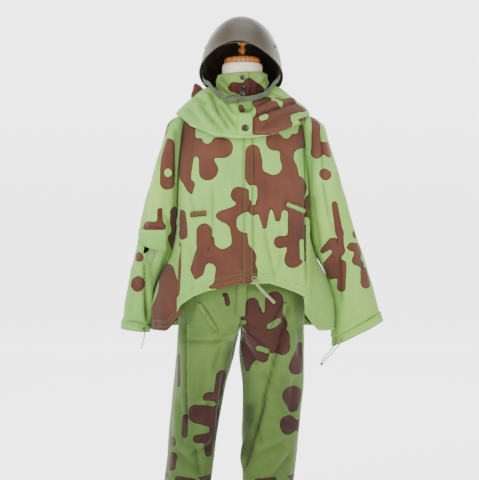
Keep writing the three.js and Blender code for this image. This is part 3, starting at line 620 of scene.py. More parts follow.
def scattered(seed: int, left: float, right: float, low: float, high: float, gap: float = 92.0) -> Print:
    """Lays seeded patches over a stretch of cloth that nothing else sets.

    Args:
        seed: seed of the draws.
        left: left limit in millimetres.
        right: right limit in millimetres.
        low: lower limit in millimetres.
        high: upper limit in millimetres.
        gap: spacing of the patches in millimetres.

    Returns:
        The print.
    """
    draw = random.Random(seed)
    browns, greens = [], []
    columns = max(1, round((right - left) / gap))
    rows = max(1, round((high - low) / gap))
    for row in range(rows):
        for column in range(columns):
            x = left + (column + 0.5 + draw.uniform(-0.3, 0.3)) * (right - left) / columns
            z = low + (row + 0.5 + draw.uniform(-0.3, 0.3)) * (high - low) / rows
            if draw.random() < 0.2:
                continue
            turn = draw.uniform(0, 2 * math.pi)
            reach = draw.uniform(0.25, 0.62) * gap
            wide = draw.uniform(0.2, 0.36) * gap
            dx, dz = reach * math.cos(turn), reach * math.sin(turn)
            browns.append((x - dx, z - dz, wide, x + dx, z + dz, wide * draw.uniform(0.5, 1.0)))
            side = draw.choice((-1, 1))
            browns.append((x, z, wide * 0.8, x - side * dz * 0.9, z + side * dx * 0.9, wide * 0.7))
            if draw.random() < 0.35:
                greens.append((x, z, wide * 0.4, x + dz * 0.3, z - dx * 0.3, wide * 0.3))
    return Print(tuple(browns), tuple(greens))


@dataclass(frozen=True)
class Fold:
    """A fold line on cloth, from one point to another, in millimetres across and up the cloth."""

    x1: float
    z1: float
    x2: float
    z2: float
    width: float
    depth: float  # a groove, or a ridge where it is below 0
    painted_shade: float = 0.0  # how dark the painted shade along the line is
    lap: float = 0.5  # height of the roll beside the groove, as a share of its depth
    side: float = 1.0  # the side that the roll lies on


# ---------- lofts ----------
def squared(value: np.ndarray) -> np.ndarray:
    """Squares an oval's sine or cosine toward a box."""
    return np.sign(value) * np.abs(value) ** (2 / BOXINESS)


def level(z: float, half: float, front: float, back: float, x: float = 0.0, y: float = 0.0) -> Row:
    """A level hoop in millimetres: left x and z, right x and z, front and back depth, middle y."""
    return (x - half, z, x + half, z, front, back, y)


def slanted(
    left: tuple[float, float], right: tuple[float, float], front: float, back: float = 0, y: float = 0.0
) -> Row:
    """A slanted hoop in millimetres between its left and right points."""
    return (*left, *right, front, back or front, y)


def run_along(points: np.ndarray) -> np.ndarray:
    """Distance from the first of a line of points to each."""
    return np.concatenate([[0], np.cumsum(np.linalg.norm(np.diff(points, axis=0), axis=1))])


def eased(knots: np.ndarray, values: np.ndarray, place: np.ndarray) -> np.ndarray:
    """Reads rows of values between knots, with smooth changes and no corners.

    Args:
        knots: rising places of the rows.
        values: a row for each knot.
        place: places to read at.

    Returns:
        A row for each place.
    """
    slopes = np.gradient(values, knots, axis=0)
    place = np.clip(place, knots[0], knots[-1])
    span = np.clip(np.searchsorted(knots, place) - 1, 0, len(knots) - 2)
    width = (knots[span + 1] - knots[span])[..., None]
    t = (place[..., None] - knots[span][..., None]) / width
    first, second = values[span], values[span + 1]
    keep = (2 * t**3 - 3 * t**2 + 1) * first + (-2 * t**3 + 3 * t**2) * second
    return keep + ((t**3 - 2 * t**2 + t) * slopes[span] + (t**3 - t**2) * slopes[span + 1]) * width


class Loft:
    """A smooth skin through a row of hoops, from the lowest to the highest."""

    def __init__(self, hoops: Sequence[Row]) -> None:
        """Takes hoops in millimetres."""
        self.hoops = np.array(hoops) * MM
        self.heights = (self.hoops[:, 1] + self.hoops[:, 3]) / 2

    def at(self, height: np.ndarray) -> np.ndarray:
        """The hoop at each height in metres."""
        return eased(self.heights, self.hoops, height)

    def points(self, height: np.ndarray, turn: np.ndarray) -> np.ndarray:
        """Points at heights and shares of a turn, counted anticlockwise from +X seen from above."""
        hoop = self.at(height)
        across = squared(np.cos(2 * np.pi * turn))
        along = squared(np.sin(2 * np.pi * turn))
        x = (hoop[..., 0] + hoop[..., 2]) / 2 + across * (hoop[..., 2] - hoop[..., 0]) / 2
        z = (hoop[..., 1] + hoop[..., 3]) / 2 + across * (hoop[..., 3] - hoop[..., 1]) / 2
        y = hoop[..., 6] + along * np.where(along < 0, hoop[..., 4], hoop[..., 5])
        return np.stack([x, y, z], axis=-1)

    def even_heights(self, low: float, high: float, rows: int) -> np.ndarray:
        """Heights in metres that split the skin's own length, not just its rise, into even rows."""
        fine = np.linspace(low, high, 400)
        hoops = self.at(fine)
        half = (hoops[:, 2] - hoops[:, 0]) / 2
        rise = np.hypot(np.diff(fine), 0.8 * np.diff(half))
        run = np.concatenate([[0], np.cumsum(rise)])
        return np.interp(np.linspace(0, run[-1], rows + 1), run, fine)

    def even_turns(self, start: float, end: float, columns: int, height: float) -> np.ndarray:
        """Shares of a turn that split the hoop at a height into even columns."""
        fine = np.linspace(start, end, 800)
        ring = self.points(np.full(fine.shape, height), fine)
        run = run_along(ring)
        return np.interp(np.linspace(0, run[-1], columns + 1), run, fine)

    def turn_of(self, height: np.ndarray, x: float, reach: float = 0.97) -> np.ndarray:
        """The share of a turn on the front at which the skin is at x metres."""
        hoop = self.at(height)
        middle, half = (hoop[..., 0] + hoop[..., 2]) / 2, (hoop[..., 2] - hoop[..., 0]) / 2
        share = np.clip((x - middle) / half, -reach, reach)
        cosine = np.sign(share) * np.abs(share) ** (BOXINESS / 2)
        return 1 - np.arccos(cosine) / (2 * np.pi)

    def front_point(self, x: float, z: float, reach: float = 0.97) -> np.ndarray:
        """The point of the skin's front at x and a height, in metres."""
        height = np.array([z])
        return self.points(height, self.turn_of(height, x, reach))[0]


# ---------- cloth ----------
class Cloth:
    """A sheet of cloth as rows of points, from its lower edge up, with its print and its painted shade in folds,
    creases and shaded patches.
    """

    def __init__(self, points: np.ndarray, closed: bool = False) -> None:
        """Takes points as rows by columns by three. A closed cloth repeats its first column last."""
        self.points = points
        self.closed = closed
        rows, columns = points.shape[:2]
        # painted shade, from 0 for none to 1, in folds, creases and shaded patches
        self.painted_shade = np.zeros((rows, columns))
        self.seam = np.full((rows, columns), FAR)
        self.print = np.full((rows, columns), -FAR)
        self.across = self._across()
        self.up = points[..., 2].copy()
        self.run_up = np.concatenate([
            np.zeros((1, columns)),
            np.cumsum(np.linalg.norm(np.diff(points, axis=0), axis=2), axis=0),
        ])
        self.gone = np.full((rows, columns), False)

    def _across(self) -> np.ndarray:
        """Distance across the cloth: x where it faces the front, and then along the cloth."""
        normals = self.normals()
        steps = np.diff(self.points, axis=1)
        length = np.linalg.norm(steps, axis=2)
        facing = (normals[:, 1:, 1] + normals[:, :-1, 1]) / 2 < -0.45
        steps_x = np.where(facing, np.abs(steps[..., 0]), length)
        run = np.concatenate([np.zeros((len(steps_x), 1)), np.cumsum(steps_x, axis=1)], axis=1)
        middle = self.points.shape[1] // 2
        front = np.argmin(normals[..., 1] + 0.0005 * np.abs(np.arange(run.shape[1]) - middle), axis=1)
        rows = np.arange(len(run))
        return run - run[rows, front][:, None] + self.points[rows, front, 0][:, None]

    def normals(self) -> np.ndarray:
        """Directions that face out of the cloth."""
        if self.closed:
            loop = np.concatenate([self.points[:, -2:-1], self.points, self.points[:, 1:2]], axis=1)
            du = (loop[:, 2:] - loop[:, :-2]) / 2
        else:
            du = np.gradient(self.points, axis=1)
        dv = np.gradient(self.points, axis=0)
        normal = np.cross(du, dv)
        return normal / np.maximum(np.linalg.norm(normal, axis=2, keepdims=True), 1e-12)

    def push(self, amount: np.ndarray) -> None:
        """Moves each point out by an amount in metres."""
        self.points = self.points + self.normals() * amount[..., None]

    def billow(self, across: float, upward: float, amount: float, seed: float, grow: float = 0.0) -> None:
        """Adds soft hanging waves.

        Args:
            across: waves in a metre, side to side.
            upward: waves in a metre, up and down.
            amount: height in metres.
            seed: a shift that tells one cloth from another.
            grow: how much less the waves are at the upper edge, from 0 to 1.
        """
        shape = self.points.shape[:2]
        flat = self.points.reshape(-1, 3)
        values = [
            noise.noise(Vector((p[0] * across + seed, p[1] * across - seed, p[2] * upward + seed)))
            for p in flat
        ]
        share = np.linspace(1, 1 - grow, shape[0])[:, None]
        self.push(np.array(values).reshape(shape) * amount * share)

    def fold(self, folds: Sequence[Fold], front_only: bool = True) -> None:
        """Presses fold lines into the cloth, and paints shade along each line."""
        total = np.zeros(self.up.shape)
        facing = self.normals()[..., 1] < 0.25 if front_only else np.full(self.up.shape, True)
        for f in folds:
            x, z = self.across / MM, self.up / MM
            dx, dz = f.x2 - f.x1, f.z2 - f.z1
            length = math.hypot(dx, dz)
            along = ((x - f.x1) * dx + (z - f.z1) * dz) / length**2
            away = ((x - f.x1) * dz - (z - f.z1) * dx) / length * f.side
            ends = np.clip(np.minimum(along + 0.08, 1.08 - along) / 0.25, 0, 1)
            ends = ends * ends * (3 - 2 * ends) * facing
            groove = np.exp(-((away / max(f.width, 5.0)) ** 2))
            roll = np.exp(-(((away - 2.2 * f.width) / (1.5 * f.width)) ** 2))
            total += ends * f.depth * MM * (f.lap * roll - groove)
            # painted shade along the fold's line
            line = np.exp(-((away / max(0.6 * f.width, 4.4)) ** 2))
            self.painted_shade = np.maximum(self.painted_shade, f.painted_shade * line * ends)
        self.push(total)

    def shade(self, strokes: Sequence[Row]) -> None:
        """Paints shade on soft patches, each (x, z, x, z, radius, amount), in millimetres."""
        for x1, z1, x2, z2, radius, amount in strokes:
            _, away = from_stroke(self.across / MM, self.up / MM, (x1, z1), (x2, z2))
            self.painted_shade = np.maximum(self.painted_shade, amount * np.exp(-((away / radius) ** 2)))

    def stamp(self, *prints: Print) -> None:
        """Prints brown patches, each print over the whole cloth."""
        for each in prints:
            self.print = np.maximum(self.print, each.depth(self.across, self.up))

    def stitch_rows(self, *distances: float) -> None:
        """Adds a line of stitches at each distance in metres up from the lower edge."""
        for distance in distances:
            away = self.run_up - distance
            self.seam = np.where(np.abs(away) < np.abs(self.seam), away, self.seam)

    def stitch_columns(self, *places: float) -> None:
        """Adds an upright line of stitches at each place in metres across the cloth."""
        for place in places:
            away = self.across - place
            self.seam = np.where(np.abs(away) < np.abs(self.seam), away, self.seam)

    def size(self) -> tuple[float, float, float]:
        """The flat width, length and area in metres."""
        rows = np.linalg.norm(np.diff(self.points, axis=1), axis=2).sum(axis=1)
        columns = np.linalg.norm(np.diff(self.points, axis=0), axis=2).sum(axis=0)
        du = np.diff(self.points, axis=1)[:-1]
        dv = np.diff(self.points, axis=0)[:, :-1]
        area = np.linalg.norm(np.cross(du, dv), axis=2).sum()
        return float(rows.max()), float(columns.max()), float(area)

    def mesh(self, name: str) -> bpy.types.Object:
        """Makes the cloth's object, one layer thick, with its attributes and UV map."""
        rows, columns = self.points.shape[0] - 1, self.points.shape[1] - 1
        bm = bmesh.new()
        bmesh.ops.create_grid(bm, x_segments=columns, y_segments=rows, size=0.5)
        # the painted shade goes onto the points, beside the print and the seams
        layers = {key: bm.verts.layers.float.new(key) for key in ("print", "painted_shade", "seam")}
        places = {}
        for vert in bm.verts:
            column = round((vert.co.x + 0.5) * columns)
            row = round((vert.co.y + 0.5) * rows)
            places[vert] = (row, column)
        uv = bm.loops.layers.uv.new("cloth")
        for face in bm.faces:
            face.smooth = True
            for loop in face.loops:
                row, column = places[loop.vert]
                loop[uv].uv = (self.across[row, column], self.run_up[row, column])
        for vert, (row, column) in places.items():
            vert.co = self.points[row, column]
            vert[layers["print"]] = self.print[row, column]
            vert[layers["painted_shade"]] = self.painted_shade[row, column]
            vert[layers["seam"]] = self.seam[row, column]
        cut = [face for face in bm.faces if all(self.gone[places[v]] for v in face.verts)]
        bmesh.ops.delete(bm, geom=cut, context="FACES")
        if self.closed:
            edge = [v for v in bm.verts if v.is_boundary]
            bmesh.ops.remove_doubles(bm, verts=edge, dist=1e-6)
        return finished(bm, name)


def finished(bm: bmesh.types.BMesh, name: str) -> bpy.types.Object:
    """Turns a bmesh into a named object in the scene and frees it."""
    data = bpy.data.meshes.new(name)
    bm.to_mesh(data)
    bm.free()
    piece = bpy.data.objects.new(name, data)
    bpy.context.scene.collection.objects.link(piece)
    return piece


def thicken(piece: bpy.types.Object, thickness: float, offset: float = -1.0) -> bpy.types.Object:
    """Gives a sheet its thickness with a live modifier."""
    wall = piece.modifiers.new("thickness", "SOLIDIFY")
    wall.thickness = thickness
    wall.offset = offset
    wall.use_even_offset = False
    return piece


def applied(piece: bpy.types.Object) -> bpy.types.Object:
    """Applies a piece's modifiers to its mesh."""
    depsgraph = bpy.context.evaluated_depsgraph_get()
    data = bpy.data.meshes.new_from_object(piece.evaluated_get(depsgraph), depsgraph=depsgraph)
    piece.modifiers.clear()
    piece.data = data
    return piece


@dataclass(frozen=True)
class Body:
    """Where a piece rides, what it stands for and its finish."""

    name: str
    body: str
    slot: str
    finish: Finish
    stands_for: tuple[str, ...] = ()


def sewn(name: str, *nodes: str, body: str = "stand", finish: PrintedCotton = SMOCK_COTTON) -> Body:
    """The role of a piece of camouflage cotton that stands for nodes."""
    return Body(name, body, "green_camouflage_cotton", finish, nodes)


def settle(piece: bpy.types.Object, role: Body) -> bpy.types.Object:
    """Dresses a piece and sets it on its body."""
    DRESSER.dress(piece, role.finish)
    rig.ride(piece, role.body)
    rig.slot(piece, role.slot)
    if role.stands_for:
        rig.replaces(piece, *role.stands_for)
    LOG.info("%s rides on %s", piece.name, role.body)
    return piece


def fit(piece: bpy.types.Object, body: str, slot: str, finish: Finish, *nodes: str) -> bpy.types.Object:
    """Dresses a piece under its own name and sets it on its body."""
    return settle(piece, Body(piece.name, body, slot, finish, nodes))


def hang(
    cloth: Cloth,
    role: Body,
    held: Hold,
    rests_on: Sequence[str],
    with_pieces: Sequence[bpy.types.Object] = (),
    joint: Optional[tuple[str, tuple[float, ...], tuple[float, ...]]] = None,
) -> bpy.types.Object:
    """Args:
        cloth: the cloth.
        role: its body, slot and finish.
        held: how it is held.
        rests_on: what it lies on or hangs from.
        with_pieces: trim sewn to it.
        joint: the second body of a blend, with the start and end of the bend.

    Returns:
        The piece.
    """
    piece = thicken(cloth.mesh(role.name), CLOTH)
    width, length, area = cloth.size()
    if joint:
        DRESSER.dress(piece, role.finish)
        applied(piece)
        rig.blend(piece, role.body, joint[0], start=joint[1], end=joint[2])
        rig.slot(piece, role.slot)
        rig.replaces(piece, *role.stands_for)
    else:
        settle(piece, role)
    flat = (round(width, 3) + 0.001, round(length, 3) + 0.001)
    names = list(rests_on)
    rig.sheet(
        piece, flat=flat, held=held.value, rests_on=names, area=round(area, 4), with_pieces=list(with_pieces)
    )
    LOG.info("%s is cut %.3f by %.3f m, %.3f square metres", role.name, *flat, area)
    return piece


def counts(width: float, length: float, spacing: float = SPACING) -> tuple[int, int]:
    """Columns and rows that give a cloth its spacing."""
    return max(4, round(width / spacing)), max(3, round(length / spacing))


def tube(
    hoops: Sequence[Row], start: float, girth: float, spacing: float = SPACING, capped: bool = False
) -> Cloth:
    """Lofts a tube of cloth through hoops.

    Args:
        hoops: hoops in millimetres, from the lowest to the highest.
        start: share of a turn where its seam lies.
        girth: about how far it is round, in metres.
        spacing: distance between its points.
        capped: whether its upper end closes.

    Returns:
        The cloth.
    """
    loft = Loft(hoops)
    low, high = loft.heights[0], loft.heights[-1]
    columns, rows = counts(girth, (high - low) * 1.06, spacing)
    heights = loft.even_heights(low, high, rows)
    turns = loft.even_turns(start, start + 1, columns, float((low + high) / 2))
    points = loft.points(*np.meshgrid(heights, turns, indexing="ij"))
    points[:, -1] = points[:, 0]
    if capped:
        middle = points[-1].mean(axis=0)
        for back, share in ((1, 0.04), (2, 0.35), (3, 0.62), (4, 0.80), (5, 0.91), (6, 0.97)):
            points[-back] = middle + (points[-back] - middle) * share
    return Cloth(points, closed=True)


def laid(width: float, length: float, spacing: float, place: Callable[[float, float], Row]) -> Cloth:
    """Lays a sheet of cloth point by point.

    Args:
        width: about how wide it is, in metres.
        length: about how long it is, in metres.
        spacing: distance between its points.
        place: gives a point from its shares of the way across and up.

    Returns:
        The cloth.
    """
    columns, rows = counts(width, length, spacing)
    return Cloth(np.array([
        [place(column / columns, row / rows) for column in range(columns + 1)] for row in range(rows + 1)
    ]))


# ---------- prints ----------
SMOCK_FRONT_PRINT = Print(
    browns=(
        (-175, 1310, 28, -178, 1190, 30), (-150, 1240, 30, -62, 1238, 31), (-118, 1205, 24, -108, 1172, 32),
        (-178, 1190, 28, -172, 1128, 22), (-170, 1125, 16, -161, 1104, 6), (-14, 1096, 24, 14, 1090, 22),
        (2, 1075, 20, -2, 1056, 18), (-20, 1045, 18, -58, 1021, 28), (-52, 1008, 20, -14, 990, 26),
        (-14, 990, 24, -8, 930, 26), (-118, 985, 24, -120, 955, 22), (-121, 950, 16, -124, 915, 18),
        (-126, 903, 26, -137, 872, 24), (-138, 865, 14, -143, 846, 6), (-92, 960, 8, -88, 915, 12),
        (-70, 905, 38, 2, 905, 38), (-62, 855, 36, 10, 862, 34), (-95, 822, 10, 5, 830, 14),
        (-190, 1040, 12, -186, 975, 14), (-204, 940, 12, -202, 880, 14), (-205, 860, 16, -212, 800, 20),
        (33, 1222, 26, 32, 1150, 26), (95, 1258, 28, 170, 1258, 26), (186, 1300, 16, 186, 1262, 18),
        (136, 1240, 22, 140, 1150, 30), (40, 1150, 28, 60, 1100, 34), (100, 1140, 40, 165, 1120, 34),
        (80, 1090, 32, 160, 1075, 30), (32, 1050, 14, 30, 1045, 13), (62, 1060, 22, 66, 1000, 7),
        (105, 1060, 16, 107, 1024, 9), (165, 1050, 26, 158, 905, 24), (114, 953, 19, 136, 956, 15),
        (152, 905, 24, 150, 899, 24), (187, 1000, 6, 187, 900, 6), (211, 1085, 16, 211, 1040, 17),
    ),
    greens=(
        (-108, 1280, 17, -108, 1268, 17), (-146, 1203, 10, -150, 1150, 12), (-196, 1148, 4, -182, 1090, 18),
        (-88, 1020, 9, -66, 992, 18), (-62, 985, 24, -62, 955, 23), (6, 1012, 26, 6, 1008, 27),
        (-98, 872, 16, -103, 838, 16), (10, 1272, 12, 50, 1262, 16), (54, 1250, 9, 68, 1215, 12),
        (88, 1190, 24, 92, 1182, 26), (128, 1292, 20, 132, 1284, 16), (186, 1212, 30, 200, 1205, 30),
        (30, 1112, 13, 30, 1088, 13), (179, 955, 7, 179, 905, 8),
    ),
)
DRAPE_PRINT = Print(browns=((-235, 860, 26, -225, 800, 34), (-225, 800, 34, -240, 700, 62)))
LEFT_SLEEVE_PRINT = Print(
    browns=(
        (-229, 1250, 20, -232, 1135, 22), (-222, 1350, 8, -243, 1290, 8), (-206, 1045, 18, -200, 985, 20),
        (-255, 1050, 8, -256, 995, 8), (-250, 1000, 12, -300, 1003, 14), (-312, 985, 14, -320, 960, 12),
        (-216, 965, 14, -212, 940, 12), (-325, 908, 14, -322, 906, 14), (-327, 824, 24, -327, 823, 24),
        (-246, 822, 18, -262, 790, 18), (-266, 775, 18, -272, 765, 14),
    ),
    greens=((-229, 1165, 13, -229, 1164, 13), (-270, 948, 18, -250, 944, 14)),
)
RIGHT_SLEEVE_PRINT = Print(
    browns=(
        (222, 1350, 12, 226, 1225, 17), (258, 1250, 16, 262, 1228, 16), (248, 1162, 15, 252, 1158, 16),
        (282, 1068, 10, 296, 985, 12), (300, 980, 10, 303, 940, 8), (245, 925, 8, 275, 952, 14),
        (275, 945, 14, 300, 925, 14), (292, 920, 14, 268, 880, 20), (268, 868, 22, 271, 858, 22),
        (305, 885, 13, 303, 812, 14), (350, 980, 11, 352, 976, 12), (335, 938, 13, 358, 935, 14),
        (360, 930, 12, 352, 898, 13), (350, 895, 13, 368, 885, 10), (380, 860, 14, 384, 828, 19),
    ),
    greens=((252, 1290, 7, 254, 1268, 9),),
)
COWL_PRINT = Print(
    browns=(
        (50, 1375, 20, 190, 1372, 26), (60, 1345, 22, 170, 1350, 30), (50, 1310, 26, 120, 1315, 30),
        (40, 1290, 16, 90, 1295, 18), (-8, 1352, 4, 2, 1340, 6), (-235, 1360, 8, -220, 1330, 8),
    ),
    greens=(
        (56, 1328, 9, 68, 1333, 10), (152, 1336, 8, 178, 1347, 9), (92, 1386, 7, 118, 1372, 6),
        (175, 1388, 12, 215, 1372, 16), (150, 1325, 7, 200, 1352, 8),
    ),
)
VEIL_PRINT = Print(
    browns=((-30, 1430, 16, -8, 1425, 18), (20, 1440, 18, 50, 1415, 24), (28, 1410, 20, 60, 1400, 16)),
    greens=((66, 1458, 8, 70, 1420, 6),),
)
LEFT_LEG_PRINT = Print(
    browns=(
        (-66, 541, 18, -72, 488, 18), (-108, 478, 15, -78, 470, 16), (-135, 428, 32, -96, 420, 34),
        (-95, 395, 22, -84, 380, 20), (-140, 350, 14, -92, 352, 15), (-105, 335, 14, -105, 300, 11),
        (-205, 600, 9, -206, 512, 9), (-181, 412, 11, -181, 362, 11), (-222, 338, 14, -221, 334, 13),
        (-220, 288, 15, -226, 262, 17), (-55, 795, 8, -46, 765, 8),
    ),
    greens=((-140, 462, 5, -92, 455, 8), (-160, 368, 8, -110, 378, 8)),
)
RIGHT_LEG_PRINT = Print(
    browns=(
        (28, 765, 20, 30, 730, 24), (95, 775, 28, 92, 735, 26), (0, 700, 26, 100, 705, 34),
        (20, 660, 40, 100, 655, 40), (20, 620, 26, 55, 612, 22), (60, 610, 16, 62, 600, 14),
        (15, 590, 18, 15, 560, 6), (115, 640, 24, 120, 632, 22), (165, 571, 26, 177, 630, 13),
        (152, 478, 32, 157, 441, 14), (139, 393, 27, 140, 385, 25), (176, 395, 9, 174, 370, 8),
    ),
    greens=((-17, 712, 7, 10, 707, 7), (80, 696, 9, 107, 712, 10), (47, 630, 8, 72, 622, 8)),
)


# ---------- smock ----------
@dataclass
class Smock:
    """The hooded smock's body: two front panels, a back, the front placket and its pockets."""

    hoops: tuple[Row, ...] = (
        level(680, 291, 152, 172), level(775, 287, 154, 170), level(840, 266, 154, 166),
        level(910, 230, 152, 162), level(1005, 208, 150, 154), level(1098, 206, 148, 150),
        level(1185, 204, 142, 146), level(1266, 202, 132, 138), level(1320, 198, 118, 124),
        level(1346, 190, 104, 110), level(1370, 150, 86, 92), level(1388, 92, 77, 83),
    )
    front_hem: tuple[tuple[float, float], ...] = (
        (-202, 736), (-190, 762), (-158, 787), (-118, 804), (-65, 816), (-19, 825), (84, 829),
        (133, 813), (165, 800), (202, 777),
    )
    seam: float = 0.012
    edge: float = 0.200  # how far round from the middle the front panels reach
    top: float = 1.388
    inset: float = 0.001
    loft: Loft = field(init=False)

    def __post_init__(self) -> None:
        """Lofts the hoops."""
        self.loft = Loft(self.hoops)

    def _panel(self, left: float, right: float) -> np.ndarray:
        """Points of a front panel between two places across the front, in metres."""
        columns, rows = counts(abs(right - left) * 1.18, 0.60)
        heights = self.loft.even_heights(0.79, self.top, rows)
        start, end = self.loft.turn_of(heights, left), self.loft.turn_of(heights, right)
        even = self.loft.even_turns(float(start[rows // 2]), float(end[rows // 2]), columns, 1.05)
        share = (even - even[0]) / (even[-1] - even[0])
        turn = start[:, None] + (end - start)[:, None] * share
        height = np.repeat(heights[:, None], columns + 1, axis=1)
        across = self.loft.points(height, turn)[..., 0]
        hem = np.array(self.front_hem)
        drop = np.interp(across[0] / MM, hem[:, 0], hem[:, 1]) * MM - heights[0]
        height = height + drop[None, :] * np.linspace(1, 0, rows + 1)[:, None] ** 2
        start, end = self.loft.turn_of(height[:, 0], left), self.loft.turn_of(height[:, -1], right)
        turn = start[:, None] + (end - start)[:, None] * share
        return self.loft.points(height, turn)

    def front(self, name: str, node: str, left: float, right: float, seed: float) -> bpy.types.Object:
        """Makes one front panel, with its folds, painted shade, print and stitches."""
        cloth = Cloth(self._panel(left, right))
        cloth.push(np.full(cloth.up.shape, -self.inset))
        cloth.billow(12.0, 2.4, 0.011, seed, 0.5)
        cloth.billow(26.0, 8.0, 0.005, seed + 7, 0.3)
        cloth.billow(60.0, 22.0, 0.0014, seed + 3, 0.0)
        cloth.fold((
            Fold(-93, 1128, -92, 945, 5, 2.2, 0.42), Fold(-150, 1290, -176, 1120, 14, 3.0, 0.15),
            Fold(193, 1305, 191, 800, 5.5, 5.0, 0.62, 0.7, -1),
            Fold(64, 1000, 96, 842, 6, 4.0, 0.38, 0.7, -1),
            Fold(122, 925, 92, 842, 7, 3.0, 0.25), Fold(132, 1110, 140, 1000, 10, 2.5, 0.12),
            Fold(-30, 1240, -26, 1020, 16, 2.0, 0.06), Fold(120, 1250, 160, 1130, 14, 2.0, 0.06),
            Fold(-160, 950, -152, 800, 9, 3.5, 0.18), Fold(-60, 1290, -40, 1180, 12, 2.0, 0.08),
            Fold(-198, 1000, -200, 780, 7, 3.0, 0.45), Fold(30, 900, 40, 835, 9, 2.0, 0.12),
            Fold(96, 1200, 70, 1090, 12, 1.8, 0.05), Fold(-168, 1105, -150, 1035, 8, 2.4, 0.2),
        ))
        cloth.shade((
            (-100, 1290, 60, 1290, 16, 0.10), (18, 1280, 16, 830, 7, 0.22), (-196, 1270, -198, 900, 9, 0.35),
            (60, 1285, 180, 1318, 14, 0.18), (-160, 1310, -60, 1268, 13, 0.25),
        ))
        cloth.stamp(SMOCK_FRONT_PRINT)
        cloth.stitch_rows(*HEM_STITCHES)
        inner = right if left < 0 else left
        cloth.stitch_columns(inner - 0.018 if left < 0 else inner + 0.016)
        role = sewn(name, node)
        return hang(cloth, role, Hold.DRAPED, ["torso_form"])

    def back(self) -> bpy.types.Object:
        """Makes the back panel, which hangs lower and shows at both sides."""
        columns, rows = counts(0.93, 0.72, 0.0062)
        heights = self.loft.even_heights(0.681, self.top, rows)
        right = self.loft.turn_of(heights, self.edge) - 1 - 0.008
        left = self.loft.turn_of(heights, -self.edge) + 0.008
        even = self.loft.even_turns(float(right[rows // 2]), float(left[rows // 2]), columns, 1.0)
        share = (even - even[0]) / (even[-1] - even[0])
        turn = right[:, None] + (left - right)[:, None] * share
        height = np.repeat(heights[:, None], columns + 1, axis=1)
        side = np.abs(share - 0.5) * 2
        rise = 0.055 * np.clip((side - 0.9) / 0.1, 0, 1) ** 1.4
        height = height + rise[None, :] * np.linspace(1, 0, rows + 1)[:, None] ** 3
        cloth = Cloth(self.loft.points(height, turn))
        half = cloth.across.shape[1] // 2
        widths = np.linalg.norm(np.diff(cloth.points, axis=1), axis=2)
        run = np.concatenate([np.zeros((rows + 1, 1)), np.cumsum(widths, axis=1)], axis=1)
        cloth.across = run - run[:, half:half + 1]
        under = np.clip((side - 0.94) / 0.06, 0, 1)[None, :] * np.ones((rows + 1, 1))
        cloth.push(-0.001 - 0.0035 * under)
        cloth.billow(12.0, 2.0, 0.008, 31.0, 0.8)
        cloth.billow(30.0, 8.0, 0.002, 37.0, 0.2)
        cloth.fold((
            Fold(-60, 1150, -90, 720, 12, 5, 0.2), Fold(80, 1100, 120, 710, 12, 5, 0.2),
            Fold(0, 1240, 4, 900, 9, 2, 0.15), Fold(200, 1000, 260, 700, 14, 6, 0.2),
            Fold(-210, 1000, -250, 700, 14, 6, 0.2),
        ), front_only=False)
        cloth.stamp(scattered(11, -400, 380, 690, 1300))
        self._print_sides(cloth)
        cloth.stitch_rows(*HEM_STITCHES)
        cloth.stitch_columns(0.0)
        role = sewn("smock_back_cloth", "smock_back")
        return hang(cloth, role, Hold.DRAPED, ["torso_form"])

    def _print_sides(self, cloth: Cloth) -> None:
        """Prints the parts of the back that face forward below the front's hem."""
        facing = cloth.normals()[..., 1] < 0.15
        side = DRAPE_PRINT.depth(cloth.points[..., 0], cloth.points[..., 2])
        cloth.print = np.where(facing, side, cloth.print)
        # painted shade on the sides of the back that show beside the front panels
        shade = np.where(facing & (np.abs(cloth.points[..., 0]) > 0.195), 0.20, 0.0)
        cloth.painted_shade = np.maximum(cloth.painted_shade, shade)

    def spot(self, x: float, z: float, lift: float) -> Row:
        """A point in front of the smock's face, in metres."""
        point = self.loft.front_point(x, z)
        return point[0], point[1] - lift, point[2]

    def patch(self, place: Row, lift: float, swell: float) -> Cloth:
        """A small piece of cloth sewn on the smock's front.

        Args:
            place: middle x and z, length, height in metres, and slant in radians.
            lift: gap to the smock in metres.
            swell: how far its middle stands out.

        Returns:
            The cloth.
        """
        x, z, length, height, slant = place

        def point(across: float, upward: float) -> Row:
            """One point of the patch."""
            s, t = (across - 0.5) * length, (upward - 0.5) * height
            dome = (1 - (2 * s / length) ** 4) * (1 - (2 * t / height) ** 4)
            where_x = x + s * math.cos(slant) - t * math.sin(slant)
            where_z = z + s * math.sin(slant) + t * math.cos(slant)
            return self.spot(where_x, where_z, lift + swell * dome)

        return laid(length, height, 0.003, point)

    def trim(self) -> None:
        """Makes the placket and the pocket welts."""
        placket = self.patch((self.seam + 0.004, 1.058, 0.026, 0.446, 0.0), 0.0012, 0.0014)
        placket.billow(20, 6, 0.0016, 3.0)
        placket.stamp(SMOCK_FRONT_PRINT)
        placket.shade(((27, 1290, 27, 830, 5, 0.3), (2, 1290, 3, 830, 5, 0.45)))
        placket.stitch_columns(0.0045, 0.0265)
        role = sewn("placket_cloth", "front_placket")
        hang(placket, role, Hold.FOLDED, ["smock_front_left_cloth", "smock_front_right_cloth"])
        left = self.patch((-0.137, 1.038, 0.050, 0.016, 0.09), 0.0022, 0.0022)
        left.print[:] = 0.02
        # painted shade along the welt's lower edge
        left.painted_shade[:2] = 0.75
        left.stitch_rows(0.004, 0.012)
        role = sewn("left_welt_cloth", "left_pocket_welt")
        hang(left, role, Hold.FOLDED, ["smock_front_left_cloth"])
        right = self.patch((0.163, 1.057, 0.064, 0.015, -0.34), 0.0022, 0.004)
        right.billow(120, 60, 0.004, 5.0)
        right.stamp(Print(browns=((145, 1040, 4, 150, 1038, 5),)))
